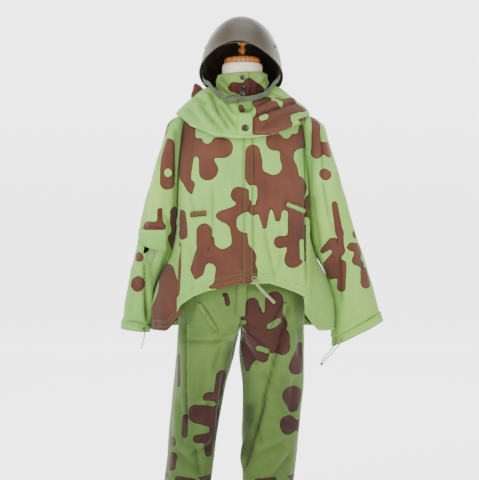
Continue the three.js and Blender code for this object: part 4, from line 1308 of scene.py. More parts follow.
        # painted shade along the welt's lower and upper edges
        right.painted_shade[:2] = 0.7
        right.painted_shade[-2:] = 0.4
        role = sewn("right_welt_cloth", "right_pocket_welt")
        hang(right, role, Hold.FOLDED, ["smock_front_right_cloth"])

    def build(self) -> None:
        """Makes every piece of the smock's body."""
        self.back()
        self.front("smock_front_left_cloth", "smock_front_left", -self.edge, self.seam + 0.006, 1.0)
        self.front("smock_front_right_cloth", "smock_front_right", self.seam, self.edge, 4.0)
        self.trim()


# ---------- sleeves ----------
@dataclass
class Sleeve:
    """One sleeve, with its cuff band."""

    side: str
    hoops: tuple[Row, ...]
    cuff: tuple[Row, ...]
    print: Print
    folds: tuple[Fold, ...]
    shades: tuple[Row, ...]
    seed: int
    bend: tuple[tuple[float, ...], tuple[float, ...]]
    start: float = 0.0  # share of a turn where the sleeve's own seam lies
    vent: Optional[Callable[[np.ndarray, np.ndarray], np.ndarray]] = None

    def build(self) -> None:
        """Makes the sleeve and its cuff."""
        cloth = tube(self.hoops, self.start, 0.42, 0.0056, capped=True)
        cloth.push(np.full(cloth.up.shape, -0.0008))
        cloth.billow(16.0, 4.0, 0.007, self.seed * 3.3, 0.55)
        cloth.billow(36.0, 15.0, 0.003, self.seed * 5.1, 0.2)
        cloth.fold(self.folds)
        cloth.shade(self.shades)
        low, high = self.hoops[0][1] - 30, 1330
        middle = cloth.across.mean(axis=1, keepdims=True)
        rest = scattered(self.seed, -260, 260, low, high, 84.0)
        front = self.print.depth(cloth.across, cloth.up)
        behind = rest.depth(cloth.across - middle, cloth.up)
        far = cloth.normals()[..., 1] > 0.15
        cloth.print = np.where(far, behind, front)
        if self.vent:
            cloth.gone = self.vent(cloth.across / MM, cloth.up / MM)
        role = sewn(f"{self.side}_sleeve_cloth", f"{self.side}_sleeve")
        hang(cloth, role, Hold.DRAPED, ["smock_back_cloth"], joint=(f"sleeve_{self.side}", *self.bend))

        band = tube(self.cuff, self.start, 0.42, 0.0035)
        ring = np.sin(np.linspace(0, np.pi, band.up.shape[0]))[:, None] * np.ones(band.up.shape)
        band.push(0.0008 + 0.0016 * ring)
        band.billow(30.0, 12.0, 0.003, self.seed * 2.0)
        band.stitch_rows(0.003, 0.024)
        # painted shade along the cuff band's lower edge
        band.painted_shade[:2] = np.maximum(band.painted_shade[:2], 0.25)
        role = sewn(f"{self.side}_cuff_cloth", f"{self.side}_cuff_band", body=f"sleeve_{self.side}")
        hang(band, role, Hold.GATHERED, [f"{self.side}_sleeve_cloth"])


LEFT_SLEEVE = Sleeve(
    side="left",
    hoops=(
        slanted((-379, 711), (-290, 699), 62), slanted((-367, 784), (-281, 775), 66),
        slanted((-353, 850), (-259, 840), 70), slanted((-338, 920), (-223, 910), 74),
        slanted((-322, 1010), (-208, 1005), 78), slanted((-301, 1098), (-200, 1098), 86),
        slanted((-276, 1185), (-195, 1185), 98), slanted((-251, 1266), (-186, 1266), 98),
        slanted((-238, 1320), (-176, 1320), 88), slanted((-225, 1348), (-160, 1352), 62),
    ),
    cuff=(slanted((-384, 683), (-294, 671), 61), slanted((-379, 712), (-293, 700), 62)),
    print=LEFT_SLEEVE_PRINT,
    folds=(
        Fold(-308, 905, -296, 700, 5.5, 9.0, 1.0, 0.8, -1), Fold(-300, 1130, -316, 960, 16, 4, 0.1),
        Fold(-226, 1240, -236, 1090, 14, 4, 0.12), Fold(-250, 1060, -225, 1000, 9, 4, 0.25),
        Fold(-232, 905, -252, 780, 10, 5, 0.2), Fold(-262, 900, -280, 760, 13, 4, 0.1),
        Fold(-330, 880, -352, 740, 16, 5, 0.08), Fold(-238, 1300, -262, 1180, 8, 3, 0.2),
        Fold(-232, 1060, -262, 1030, 7, 3, 0.2), Fold(-224, 1030, -232, 930, 6, 3, 0.35),
    ),
    shades=(
        (-208, 1290, -211, 1010, 8, 0.62), (-215, 990, -262, 830, 9, 0.62), (-264, 820, -288, 700, 8, 0.5),
        (-290, 930, -300, 800, 12, 0.45), (-268, 946, -300, 950, 8, 0.5),
    ),
    seed=5,
    bend=((-0.203, 0.0, 1.335), (-0.252, 0.0, 1.165)),
    vent=lambda x, z: (x > -311) & (x < -266) & (z > 908) & (z < 950) & (z > 905 + 0.9 * (x + 311)),
)
RIGHT_SLEEVE = Sleeve(
    side="right",
    hoops=(
        slanted((281, 653), (431, 733), 54), slanted((281, 745), (410, 800), 60),
        slanted((262, 840), (386, 880), 66), slanted((226, 910), (372, 930), 72),
        slanted((208, 1005), (347, 1010), 78), slanted((200, 1098), (320, 1098), 86),
        slanted((195, 1185), (294, 1185), 98), slanted((186, 1266), (270, 1266), 98),
        slanted((176, 1320), (254, 1320), 88), slanted((160, 1352), (236, 1348), 62),
    ),
    cuff=(slanted((279, 625), (440, 705), 52), slanted((281, 654), (431, 734), 54)),
    print=RIGHT_SLEEVE_PRINT,
    folds=(
        Fold(240, 1300, 242, 1140, 6, 5, 0.5), Fold(242, 1140, 266, 1020, 6, 5, 0.55),
        Fold(266, 1020, 296, 940, 7, 4, 0.35), Fold(300, 920, 303, 760, 6, 6, 0.55, 0.8, -1),
        Fold(300, 960, 330, 900, 8, 3, 0.18), Fold(330, 800, 350, 720, 16, 3, 0.05),
        Fold(300, 700, 400, 745, 10, 2, 0.08), Fold(262, 1260, 300, 1120, 14, 3, 0.06),
        Fold(288, 850, 292, 690, 10, 3, 0.2), Fold(250, 930, 282, 900, 8, 3, 0.25),
    ),
    shades=(
        (209, 1290, 212, 1110, 8, 0.5), (216, 1090, 236, 940, 8, 0.55), (286, 880, 290, 700, 16, 0.22),
        (280, 790, 290, 670, 10, 0.3),
    ),
    seed=9,
    bend=((0.203, 0.0, 1.335), (0.252, 0.0, 1.165)),
    start=0.5,
)


@dataclass
class SleeveVent:
    """The vent in the left sleeve, with the flap over it and the strap inside."""

    left: float = -0.318
    right: float = -0.236
    high: float = 0.989
    low: float = 0.924

    def flap(self) -> None:
        """Makes the flap, which droops toward its right."""
        loft = Loft(LEFT_SLEEVE.hoops)

        def point(s: float, t: float) -> Row:
            """One point of the flap."""
            x = self.left - 0.008 + s * (self.right - self.left + 0.008)
            bottom = self.low + 0.028 * (1 - s) ** 1.3 - 0.004 * math.sin(math.pi * s)
            z = bottom + t * (self.high + 0.008 * math.sin(math.pi * s) - bottom)
            lift = 0.0025 + 0.0085 * (1 - t) ** 1.5
            return x, loft.front_point(x, z, 0.94)[1] - lift, z

        cloth = laid(self.right - self.left, self.high - self.low, 0.003, point)
        cloth.billow(38, 38, 0.003, 2.0)
        cloth.stamp(Print(browns=((-300, 996, 6, -250, 998, 8),)))
        cloth.stitch_rows(0.004, 0.010)
        # painted shade along the flap's lower edge
        cloth.painted_shade[0] = 0.5
        role = sewn("vent_flap_cloth", "left_vent_flap", body="vent_flap")
        hang(cloth, role, Hold.HUNG, ["left_sleeve_cloth"])

    def build(self) -> None:
        """Makes the flap and dresses the strap."""
        self.flap()
        DRESSER.dress_nodes(GREEN_CAD_TAPE, "left_vent_strap")


# ---------- trousers ----------
@dataclass
class Trousers:
    """Half of the trousers: one leg up to the waist, cut on the middle of the body."""

    side: str
    hoops: tuple[Row, ...]
    start: float  # share of a turn of the leg's inner side
    print: Print
    folds: tuple[Fold, ...]
    shades: tuple[Row, ...]
    seed: int
    middle: float = -0.007
    crotch: tuple[float, float] = (0.612, 0.700)
    seat: tuple[Row, ...] = (
        level(640, 199, 124, 128, -7), level(691, 197, 126, 132, -7), level(760, 200, 130, 142, -6),
        level(850, 192, 128, 138, -6), level(1000, 150, 109, 107, -8),
    )

    def _points(self) -> tuple[np.ndarray, np.ndarray]:
        """The half's points, and which of them the crotch cuts away."""
        leg, seat = Loft(self.hoops), Loft(self.seat)
        low, high = leg.heights[0], 1.0
        columns, rows = counts(0.62, high - low, 0.0066)
        heights = leg.even_heights(low, high, rows)
        turns = self.start + np.linspace(0, 1, columns + 1)
        height, turn = np.meshgrid(heights, turns, indexing="ij")
        below = leg.points(np.minimum(height, leg.heights[-1]), turn)
        below[..., 2] += height - np.minimum(height, leg.heights[-1])
        above = seat.points(height, turn)
        inner_side = 1.0 if self.start == 0 else -1.0
        inner = inner_side * np.cos(2 * np.pi * turn) > 1e-9
        hoop = seat.at(height)
        along = np.sin(2 * np.pi * turn)
        depth = along * np.where(along < 0, hoop[..., 4], hoop[..., 5])
        line = self.middle - inner_side * 0.0008
        flat = np.stack([np.full(height.shape, line), depth, height], axis=-1)
        above = np.where(inner[..., None], flat, above)
        share = np.clip((height - self.crotch[0]) / (self.crotch[1] - self.crotch[0]), 0, 1)
        share = (share * share * (3 - 2 * share))[..., None]
        points = below * (1 - share) + above * share
        points[:, -1] = points[:, 0]
        return points, inner & (height > self.crotch[1])

    def build(self) -> None:
        """Makes the half, with its folds and print."""
        points, gone = self._points()
        cloth = Cloth(points, closed=True)
        cloth.gone = gone
        cloth.push(np.full(cloth.up.shape, -0.001))
        cloth.billow(13.0, 3.0, 0.008, self.seed * 2.7, 0.5)
        cloth.billow(30.0, 12.0, 0.003, self.seed * 4.1, 0.3)
        cloth.fold(self.folds)
        cloth.shade(self.shades)
        middle = cloth.across.mean(axis=1, keepdims=True)
        behind = scattered(self.seed, -320, 320, 80, 1000, 88.0)
        front = np.maximum(
            self.print.depth(cloth.across, cloth.up),
            np.where(cloth.up < 0.235, behind.depth(cloth.across, cloth.up), -FAR),
        )
        far = cloth.normals()[..., 1] > 0.1
        cloth.print = np.where(far, behind.depth(cloth.across - middle, cloth.up), front)
        cloth.stitch_rows(0.012, 0.018)
        node = f"trouser_{self.side}_leg"
        role = sewn(f"trousers_{self.side}_cloth", node, "trouser_seat", finish=TROUSER_COTTON)
        hang(cloth, role, Hold.DRAPED, ["torso_form", f"{self.side}_leg_form"])


LEFT_TROUSERS = Trousers(
    side="left",
    hoops=(
        slanted((-251, 72), (-122, 72), 72, 76), slanted((-245, 221), (-98, 221), 80, 84),
        slanted((-232, 355), (-79, 355), 88, 90), slanted((-217, 488), (-54, 488), 94, 96),
        slanted((-208, 600), (-26, 600), 108, 112), slanted((-204, 691), (-17, 691), 124, 130),
    ),
    start=0.0,
    print=LEFT_LEG_PRINT,
    folds=(
        Fold(-180, 730, -174, 380, 7, 13, 0.92, 0.9, -1), Fold(-133, 767, -71, 671, 6, 5, 0.4),
        Fold(-204, 649, -24, 649, 4, 3, 0.4), Fold(-120, 600, -132, 470, 15, 8, 0.14),
        Fold(-64, 640, -92, 560, 10, 7, 0.25), Fold(-30, 704, -90, 640, 11, 7, 0.3),
        Fold(-80, 470, -160, 430, 10, 6, 0.2), Fold(-88, 330, -170, 296, 10, 6, 0.24),
        Fold(-210, 310, -130, 250, 11, 7, 0.2), Fold(-150, 330, -132, 240, 8, 8, 0.4),
        Fold(-100, 215, -190, 190, 10, 6, 0.2), Fold(-150, 800, -160, 700, 11, 6, 0.2),
        Fold(-58, 560, -74, 380, 8, 5, 0.35), Fold(-96, 520, -110, 400, 10, 5, 0.18),
        Fold(-200, 470, -186, 330, 9, 6, 0.25), Fold(-140, 180, -150, 90, 12, 5, 0.2),
    ),
    shades=(
        (-40, 640, -60, 470, 14, 0.5), (-66, 460, -84, 330, 12, 0.6), (-172, 560, -165, 330, 18, 0.2),
        (-190, 815, -40, 828, 12, 0.5),
    ),
    seed=21,
)
RIGHT_TROUSERS = Trousers(
    side="right",
    hoops=(
        slanted((8, 72), (150, 72), 72, 76), slanted((-3, 221), (166, 221), 80, 84),
        slanted((-6, 355), (177, 355), 88, 90), slanted((-3, 488), (187, 488), 94, 96),
        slanted((-13, 600), (190, 600), 108, 112), slanted((-16, 691), (190, 691), 124, 130),
    ),
    start=0.5,
    print=RIGHT_LEG_PRINT,
    folds=(
        Fold(142, 760, 100, 604, 6, 8, 0.6, 0.9, -1), Fold(106, 626, 58, 450, 6, 8, 0.6, 0.9, -1),
        Fold(72, 480, 2, 240, 7, 11, 0.85, 0.9, 1), Fold(120, 560, 140, 420, 15, 7, 0.12),
        Fold(160, 540, 150, 400, 13, 7, 0.18), Fold(-8, 696, 70, 636, 10, 7, 0.4),
        Fold(-12, 664, 46, 574, 9, 7, 0.42), Fold(-14, 720, 40, 690, 8, 5, 0.35),
        Fold(130, 340, 40, 300, 10, 6, 0.24), Fold(150, 300, 90, 230, 10, 6, 0.22),
        Fold(90, 240, 84, 90, 13, 6, 0.2), Fold(20, 215, 130, 180, 10, 6, 0.2),
        Fold(170, 700, 176, 600, 10, 6, 0.25), Fold(30, 420, 60, 330, 8, 6, 0.35),
        Fold(100, 430, 160, 380, 9, 5, 0.2), Fold(60, 560, 110, 500, 9, 5, 0.2),
    ),
    shades=(
        (10, 560, 10, 470, 16, 0.35), (20, 440, 10, 300, 24, 0.75), (30, 420, 0, 300, 16, 0.75),
        (0, 600, -6, 480, 10, 0.6), (20, 815, 160, 812, 12, 0.45), (120, 520, 128, 400, 22, 0.15),
    ),
    seed=34,
)


def trouser_trim() -> None:
    """Makes the fly placket and the slanting pocket welts, sewn on the trousers' front."""
    seat = Loft(LEFT_TROUSERS.seat)
    for name, node, top, bottom, width in (
        ("fly_cloth", "fly_placket", (-2, 858), (-6, 728), 30),
        ("left_hip_welt_cloth", "left_hip_pocket_welt", (-134, 767), (-82, 686), 16),
        ("right_hip_welt_cloth", "right_hip_pocket_welt", (128, 767), (92, 690), 16),
    ):
        def point(across: float, upward: float) -> Row:
            """One point of the strip."""
            x = (bottom[0] + (top[0] - bottom[0]) * upward) * MM + (across - 0.5) * width * MM
            z = (bottom[1] + (top[1] - bottom[1]) * upward) * MM
            dome = 1 - (2 * across - 1) ** 4
            return x, seat.front_point(x, z)[1] - 0.002 - 0.002 * dome, z

        cloth = laid(width * MM, math.dist(top, bottom) * MM, 0.0035, point)
        left_edge = cloth.points[(len(cloth.points) - 1) // 2, 0, 0]
        cloth.billow(30, 10, 0.002, 9.0)
        cloth.stamp(RIGHT_LEG_PRINT, LEFT_LEG_PRINT)
        cloth.stitch_columns(left_edge + 0.004)
        role = sewn(name, node, finish=TROUSER_COTTON)
        hang(cloth, role, Hold.FOLDED, ["trousers_left_cloth", "trousers_right_cloth"])


# ---------- hood, collar and throat ----------
@dataclass
class Hood:
    """The hood, folded down: its cowl round the shoulders, its bag behind, and its peak."""

    rings: tuple[Row, ...] = (  # half width, front, back, and height at the side, front and back
        (205, 147, 152, 1351, 1266, 1290), (186, 138, 146, 1374, 1312, 1330),
        (154, 121, 130, 1400, 1352, 1368), (120, 97, 104, 1428, 1381, 1398),
        (94, 80, 86, 1440, 1396, 1416),
    )
    lift: float = 0.0048

    def cowl_points(self, share: np.ndarray, turn: np.ndarray, lift: np.ndarray) -> np.ndarray:
        """Points on the cowl, from 0 at its outer edge to 1 at the neck."""
        ring = eased(np.linspace(0, 1, len(self.rings)), np.array(self.rings) * MM, share)
        across = squared(np.cos(2 * np.pi * turn))
        along = squared(np.sin(2 * np.pi * turn))
        end = np.where(along < 0, ring[..., 4], ring[..., 5])
        depth = np.where(along < 0, ring[..., 1], ring[..., 2])
        x = across * (ring[..., 0] + lift)
        y = along * (depth + lift)
        z = ring[..., 3] + (end - ring[..., 3]) * along**2 + lift
        return np.stack([x, y, z], axis=-1)

    def cowl(self) -> bpy.types.Object:
        """Makes the cowl, with the grooves pressed toward the throat."""
        columns, rows = 236, 30
        share = np.concatenate([[-0.012, 0.0], np.linspace(0.02, 1, rows - 1)])
        fine = np.linspace(0.5, 1.5, 900)
        middle = self.cowl_points(np.full(fine.shape, 0.3), fine, np.zeros(fine.shape))
        run = run_along(middle)
        turns = np.interp(np.linspace(0, run[-1], columns + 1), run, fine) + 0.25
        share, turn = np.meshgrid(share, turns, indexing="ij")
        lift = np.full(share.shape, self.lift)
        lift[0] = 0.0012
        points = self.cowl_points(np.clip(share, 0, 1), turn, lift)
        points[:, -1] = points[:, 0]
        cloth = Cloth(points, closed=True)
        cloth.across = points[..., 0].copy()
        cloth.billow(20.0, 20.0, 0.004, 6.0, 0.7)
        cloth.billow(48.0, 48.0, 0.0018, 8.0, 0.4)
        cloth.fold((
            Fold(-104, 1420, -72, 1338, 6, 8, 0.75, 0.9), Fold(-86, 1362, -40, 1290, 6, 7, 0.7, 0.9),
            Fold(-74, 1376, -22, 1300, 6, 6, 0.65, 0.9), Fold(-134, 1376, -84, 1309, 7, 7, 0.5, 0.8),
            Fold(-98, 1328, -56, 1282, 7, 5, 0.4, 0.8), Fold(24, 1330, 112, 1366, 5, 7, 0.65, 0.9, -1),
            Fold(92, 1357, 166, 1388, 5, 6, 0.6, 0.9, -1), Fold(-176, 1372, -128, 1316, 9, 5, 0.22),
            Fold(50, 1292, 116, 1334, 9, 5, 0.22), Fold(104, 1336, 188, 1356, 8, 5, 0.25),
            Fold(40, 1362, 96, 1398, 6, 6, 0.5, 0.9), Fold(-60, 1392, -26, 1340, 5, 5, 0.45),
            Fold(70, 1420, 132, 1396, 7, 5, 0.35), Fold(-150, 1404, -110, 1372, 7, 5, 0.35),
        ))
        cloth.shade((
            (-92, 1440, -70, 1398, 12, 0.6), (-70, 1398, 72, 1398, 10, 0.6), (72, 1398, 92, 1440, 12, 0.6),
        ))
        cloth.stamp(COWL_PRINT)
        behind = scattered(41, -210, 210, -190, 190, 78.0)
        facing = points[..., 1] > 0.02
        cloth.print = np.where(facing, behind.depth(points[..., 0], points[..., 1]), cloth.print)
        cloth.stitch_rows(0.014)
        role = sewn("hood_cowl_cloth", "hood_cowl")
        names = ["smock_front_left_cloth", "smock_front_right_cloth", "smock_back_cloth"]
        return hang(cloth, role, Hold.DRAPED, names)

    def bag(self) -> None:
        """Makes the bag of the hood, which hangs down behind the shoulders."""
        hoops = tuple(
            level(z, half, thick / 6, thick * 5 / 6, 0, face + thick / 6)
            for z, half, face, thick in (
                (1170, 30, 153, 12), (1200, 84, 154, 32), (1250, 108, 156, 44), (1296, 116, 158.5, 48),
                (1336, 112, 152.5, 48), (1368, 92, 137.5, 46), (1392, 62, 120, 34),
            )
        )
        cloth = tube(hoops, 0.75, 0.52, 0.0056)
        middle = cloth.points.mean(axis=1, keepdims=True)
        for row, share in ((0, 0.05), (1, 0.6), (2, 0.85), (-1, 0.05), (-2, 0.6), (-3, 0.85)):
            cloth.points[row] = middle[row] + (cloth.points[row] - middle[row]) * share
        cloth.across = cloth.points[..., 0].copy()
        cloth.push(np.full(cloth.up.shape, -0.0006))
        cloth.billow(24.0, 16.0, 0.007, 14.0)
        cloth.fold((
            Fold(-90, 1380, -30, 1260, 8, 5, 0.5), Fold(90, 1380, 30, 1250, 8, 5, 0.5),
            Fold(-70, 1270, 60, 1230, 9, 4, 0.3), Fold(-10, 1385, 6, 1300, 8, 4, 0.4),
        ), front_only=False)
        cloth.stamp(scattered(15, -120, 120, 1170, 1400, 80.0))
        role = sewn("hood_bag_cloth", "hood_bag")
        hang(cloth, role, Hold.HUNG, ["hood_cowl_cloth"])

    def peak(self) -> None:
        """Makes the peak of the hood, which stands up behind the collar at the left."""
        hoops = (
            slanted((-160, 1396.5), (-86, 1396.5), 34, 34, 52),
            slanted((-166, 1412), (-100, 1412), 32, 32, 60),
            slanted((-164, 1440), (-122, 1440), 24, 24, 68), slanted((-162, 1467), (-141, 1462), 10, 10, 72),
        )
        cloth = tube(hoops, 0.25, 0.20, 0.0036, capped=True)
        cloth.push(np.full(cloth.up.shape, -0.001))
        cloth.billow(50.0, 30.0, 0.005, 17.0)
        cloth.print[:] = 0.02
        cloth.shade(((-150, 1400, -110, 1402, 12, 0.5),))
        role = sewn("hood_peak_cloth", "hood_peak", finish=VEIL_COTTON)
        hang(cloth, role, Hold.FOLDED, ["hood_cowl_cloth"])

    def veil(self) -> None:
        """Makes the stand collar: one strip that goes round the neck and laps over at the front."""
        loft = Loft((
            level(1388.3, 92, 77, 83, 0), level(1408, 85, 78, 79, -2), level(1440, 83, 77, 76, -3),
            slanted((-84, 1474), (77, 1480), 75, 75),
        ))
        columns, rows = counts(0.50, 0.088, 0.0036)
        heights = np.linspace(loft.heights[0], loft.heights[-1], rows + 1)
        turns = loft.even_turns(-0.295, 0.785, columns, 1.43)
        height, turn = np.meshgrid(heights, turns, indexing="ij")
        lap = [0.0046, 0.0018, 0.0010, 0.0006]  # how far in the strip lies, from its under end to its upper
        inset = np.interp(np.linspace(0, 1, columns + 1), [0, 0.1, 0.9, 1.0], lap)
        cloth = Cloth(loft.points(height, turn))
        cloth.push(-np.repeat(inset[None, :], rows + 1, axis=0))
        cloth.across = cloth.points[..., 0].copy()
        calm = np.linspace(1, 0.35, rows + 1)[:, None]
        waves = np.sin(cloth.across * 210 + 9 * np.sin(cloth.up * 40)) * calm
        cloth.push(0.0018 * (waves - 0.6))
        cloth.billow(34.0, 20.0, 0.007, 23.0)
        # painted shade in the hollows of the gathers
        cloth.painted_shade = np.maximum(cloth.painted_shade, 0.34 * np.clip(-waves, 0, 1))
        cloth.fold((
            Fold(30, 1470, 22, 1396, 4, 2.5, 0.4), Fold(-78, 1472, -30, 1418, 5, 4.5, 0.45, 0.8),
            Fold(-84, 1446, -40, 1402, 5, 4.5, 0.4, 0.8), Fold(72, 1468, 46, 1424, 5, 4.0, 0.35, 0.8, -1),
            Fold(-22, 1440, -14, 1394, 4, 2, 0.4), Fold(48, 1440, 40, 1394, 4, 2, 0.4),
        ))
        cloth.shade(((-80, 1478, 76, 1480, 10, 0.3), (-90, 1392, 90, 1392, 9, 0.5)))
        cloth.stamp(VEIL_PRINT)
        # painted shade along the edge of the strip's upper end, where it laps over
        cloth.painted_shade[:, -1:] = np.maximum(cloth.painted_shade[:, -1:], 0.5)
        facing = cloth.normals()[..., 1] < 0.2
        around = scattered(3, -90, 90, 1380, 1480, 60.0).depth(cloth.points[..., 0], cloth.points[..., 2])
        cloth.print = np.where(facing, cloth.print, around)
        cloth.seam = np.minimum(cloth.seam, np.abs(cloth.run_up[-1:] - cloth.run_up - 0.006))
        role = sewn("collar_cloth", "collar_veil", finish=VEIL_COTTON)
        hang(cloth, role, Hold.GATHERED, ["neck_form", "hood_cowl_cloth"])

    def build(self) -> None:
        """Makes every piece of the hood."""
        self.cowl()
        self.bag()
        self.peak()
        self.veil()


@dataclass
class Throat:
    """The strap down the throat, its buttoned flap, and the collar's buttons."""

    line: tuple[tuple[float, float], ...] = (  # z and y down the cowl's front, in millimetres
        (1268, -154.2), (1272, -153.7), (1318, -144.7), (1358, -127.7), (1387, -103.7),
    )
    middle: float = 0.006
    width: float = 0.044
    hinge: float = 1.346
    thick: float = 0.003

    def _strip(self, low: float, high: float, rounding: float, lift: float) -> Cloth:
        """A strip of the strap between two heights, whose lower corners may be rounded."""
        line = np.array(self.line) * MM
        columns, rows = counts(self.width, high - low, 0.0026)
        heights = np.linspace(low, high, rows + 1)
        face = eased(line[:, 0], line[:, 1:], heights)[:, 0] - lift
        side = np.linspace(-1, 1, columns + 1)
        corner = np.clip(1 - (heights - low) / max(rounding, 1e-6), 0, 1) if rounding else heights * 0
        half = self.width / 2 - rounding * (1 - np.sqrt(1 - corner**2))
        x = self.middle + half[:, None] * side[None, :]
        dome = 0.0010 * (1 - side**4)
        y = face[:, None] - dome[None, :]
        z = np.repeat(heights[:, None], columns + 1, axis=1)
        cloth = Cloth(np.stack([x, y, z], axis=-1))
        cloth.across = cloth.points[..., 0].copy()
        return cloth

    def strap(self) -> None:
        """Makes the fixed strap above the flap."""
        cloth = self._strip(self.hinge + 0.0036, 1.387, 0.0, 0.0034)
        cloth.stamp(Print(browns=((-6, 1362, 7, 2, 1335, 11),)))
        # painted shade: the whole strap darker, and darker still at its sides and lower edge
        cloth.painted_shade[:] = 0.42
        cloth.painted_shade[:, :2] = 0.7
        cloth.painted_shade[:, -2:] = 0.7
        cloth.painted_shade[:3] = 0.75
        role = sewn("throat_strap_cloth", "throat_strap")
        hang(cloth, role, Hold.STRETCHED, ["hood_cowl_cloth"])

    def tab(self) -> None:
        """Makes the buttoned flap."""
        cloth = self._strip(1.2720, self.hinge - 0.0024, 0.012, 0.0038)
        cloth.billow(60, 60, 0.0012, 2.0)
        # painted shade along the flap's edges, darkest at its upper edge
        cloth.painted_shade[-2:] = 0.5
        cloth.painted_shade[0] = 0.3
        cloth.painted_shade[:, :1] = 0.3
        cloth.painted_shade[:, -1:] = 0.3
        edge = self.width / 2 - np.abs(cloth.across - self.middle) - 0.004
        cloth.seam = np.minimum(np.abs(edge), np.abs(cloth.run_up - 0.005))
        role = sewn("throat_tab_cloth", "throat_tab", body="throat_flap")
        hang(cloth, role, Hold.STRETCHED, ["hood_cowl_cloth"])

    def build(self) -> None:
        """Makes the strap, the flap and the buttons."""
        self.strap()
        self.tab()
        for node, finish, body in (
            ("throat_button", DARK_BUTTON, "throat_flap"), ("collar_button_top", DARK_BUTTON, "stand"),
            ("collar_snap", SHINY_BUTTON, "stand"), ("collar_button_low", DARK_BUTTON, "stand"),
        ):
            low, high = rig.box(node)
            low, high = Vector(low), Vector(high)
            size = high - low
            radius = size.x / 2
            seat = Vector(((low.x + high.x) / 2, high.y, (low.z + high.z) / 2))
            tilt = math.radians(8 if body == "stand" else 14)
            profile = ((0, 0.55), (0.5, 0.6), (0.72, 0.85), (0.86, 1.0), (1.0, 0.75), (1.0, 0.2), (0.9, 0.0))
            thick = 0.0034
            stand = 0.0008 if body == "stand" else 0.0034
            button = lathe(f"{node}_disc", [(r * radius, h * thick) for r, h in profile], 40)
            turn = Matrix.Rotation(math.pi / 2 - tilt, 4, "X")
            move(button, Matrix.Translation(seat + Vector((0, -stand, 0))) @ turn)
            fit(button, body, "dark_button", finish, node)


# ---------- round, swept and turned pieces ----------
def move(piece: bpy.types.Object, matrix: Matrix) -> None:
    """Moves a piece's mesh and leaves its object at the origin."""
    piece.data.transform(matrix)


def lathe(name: str, profile: Sequence[tuple[float, float]], columns: int = 96) -> bpy.types.Object:
    """Turns a profile of (radius, height) in metres about the upright axis."""
    bm = bmesh.new()
    verts = [bm.verts.new((radius, 0.0, height)) for radius, height in profile]
    edges = [bm.edges.new(pair) for pair in zip(verts, verts[1:])]
    bmesh.ops.spin(
        bm, geom=verts + edges, cent=(0, 0, 0), axis=(0, 0, 1), angle=2 * math.pi, steps=columns,
        use_merge=True,
    )
    bmesh.ops.remove_doubles(bm, verts=bm.verts[:], dist=1e-6)
    ends = [edge for edge in bm.edges if edge.is_boundary]
    bmesh.ops.holes_fill(bm, edges=ends, sides=0)
    bmesh.ops.recalc_face_normals(bm, faces=bm.faces[:])
    for face in bm.faces:
        face.smooth = True
    piece = finished(bm, name)
    soften(piece, 0.0004)
    return piece


def soften(piece: bpy.types.Object, width: float, angle: float = 35.0) -> None:
    """Rounds a piece's sharp edges with a live modifier."""
    bevel = piece.modifiers.new("edge", "BEVEL")
    bevel.width = width
    bevel.segments = 3
    bevel.limit_method = "ANGLE"
    bevel.angle_limit = math.radians(angle)


def through(points: Sequence[Sequence[float]], steps: int) -> np.ndarray:
    """A smooth line through points in millimetres, given in metres."""
    knots = np.array(points, dtype=float) * MM
    length = run_along(knots)
    return eased(length, knots, np.linspace(0, length[-1], steps))


def swept(
    name: str, line: np.ndarray, faces: np.ndarray, width: float, thick: float, round_trip: bool = False
) -> bpy.types.Object:
    """Sweeps a strap's or a wire's section along a line.

    Args:
        name: the piece's name.
        line: the middle of the section, as points in metres.
        faces: the way that the section's face points, for each point.
        width: width in metres.
        thick: thickness in metres.
        round_trip: whether the line closes on itself.

    Returns:
        The piece, with its UV map "cloth" across and along it.
    """
    sides = 16
    turn = np.linspace(0, 2 * np.pi, sides + 1)[:-1] + np.pi / sides
    power = 0.42 if width > 2 * thick else 1.0
    section_x = np.sign(np.cos(turn)) * np.abs(np.cos(turn)) ** power * width / 2
    section_y = np.sign(np.sin(turn)) * np.abs(np.sin(turn)) ** power * thick / 2
    if round_trip:
        along = np.roll(line, -1, axis=0) - np.roll(line, 1, axis=0)
    else:
        along = np.gradient(line, axis=0)
    along /= np.linalg.norm(along, axis=1, keepdims=True)
    flat = np.cross(faces, along)
    flat /= np.linalg.norm(flat, axis=1, keepdims=True)
    out = np.cross(along, flat)
    run = run_along(line)
    count = len(line)
    rows = count if round_trip else count - 1
    bm = bmesh.new()
    bmesh.ops.create_grid(bm, x_segments=sides, y_segments=rows, size=0.5)
    uv = bm.loops.layers.uv.new("cloth")
    places = {v: (round((v.co.y + 0.5) * rows), round((v.co.x + 0.5) * sides)) for v in bm.verts}
    for face in bm.faces:
        face.smooth = True
        for loop in face.loops:
            row, side = places[loop.vert]
            loop[uv].uv = (float(section_x[side % sides]), float(run[row % count]))
    for vert, (row, side) in places.items():
        x, y = section_x[side % sides], section_y[side % sides]
        vert.co = Vector(line[row % count] + flat[row % count] * x + out[row % count] * y)
    bmesh.ops.remove_doubles(bm, verts=bm.verts[:], dist=1e-7)
    bmesh.ops.holes_fill(bm, edges=[edge for edge in bm.edges if edge.is_boundary], sides=0)
    bmesh.ops.recalc_face_normals(bm, faces=bm.faces[:])
    return finished(bm, name)


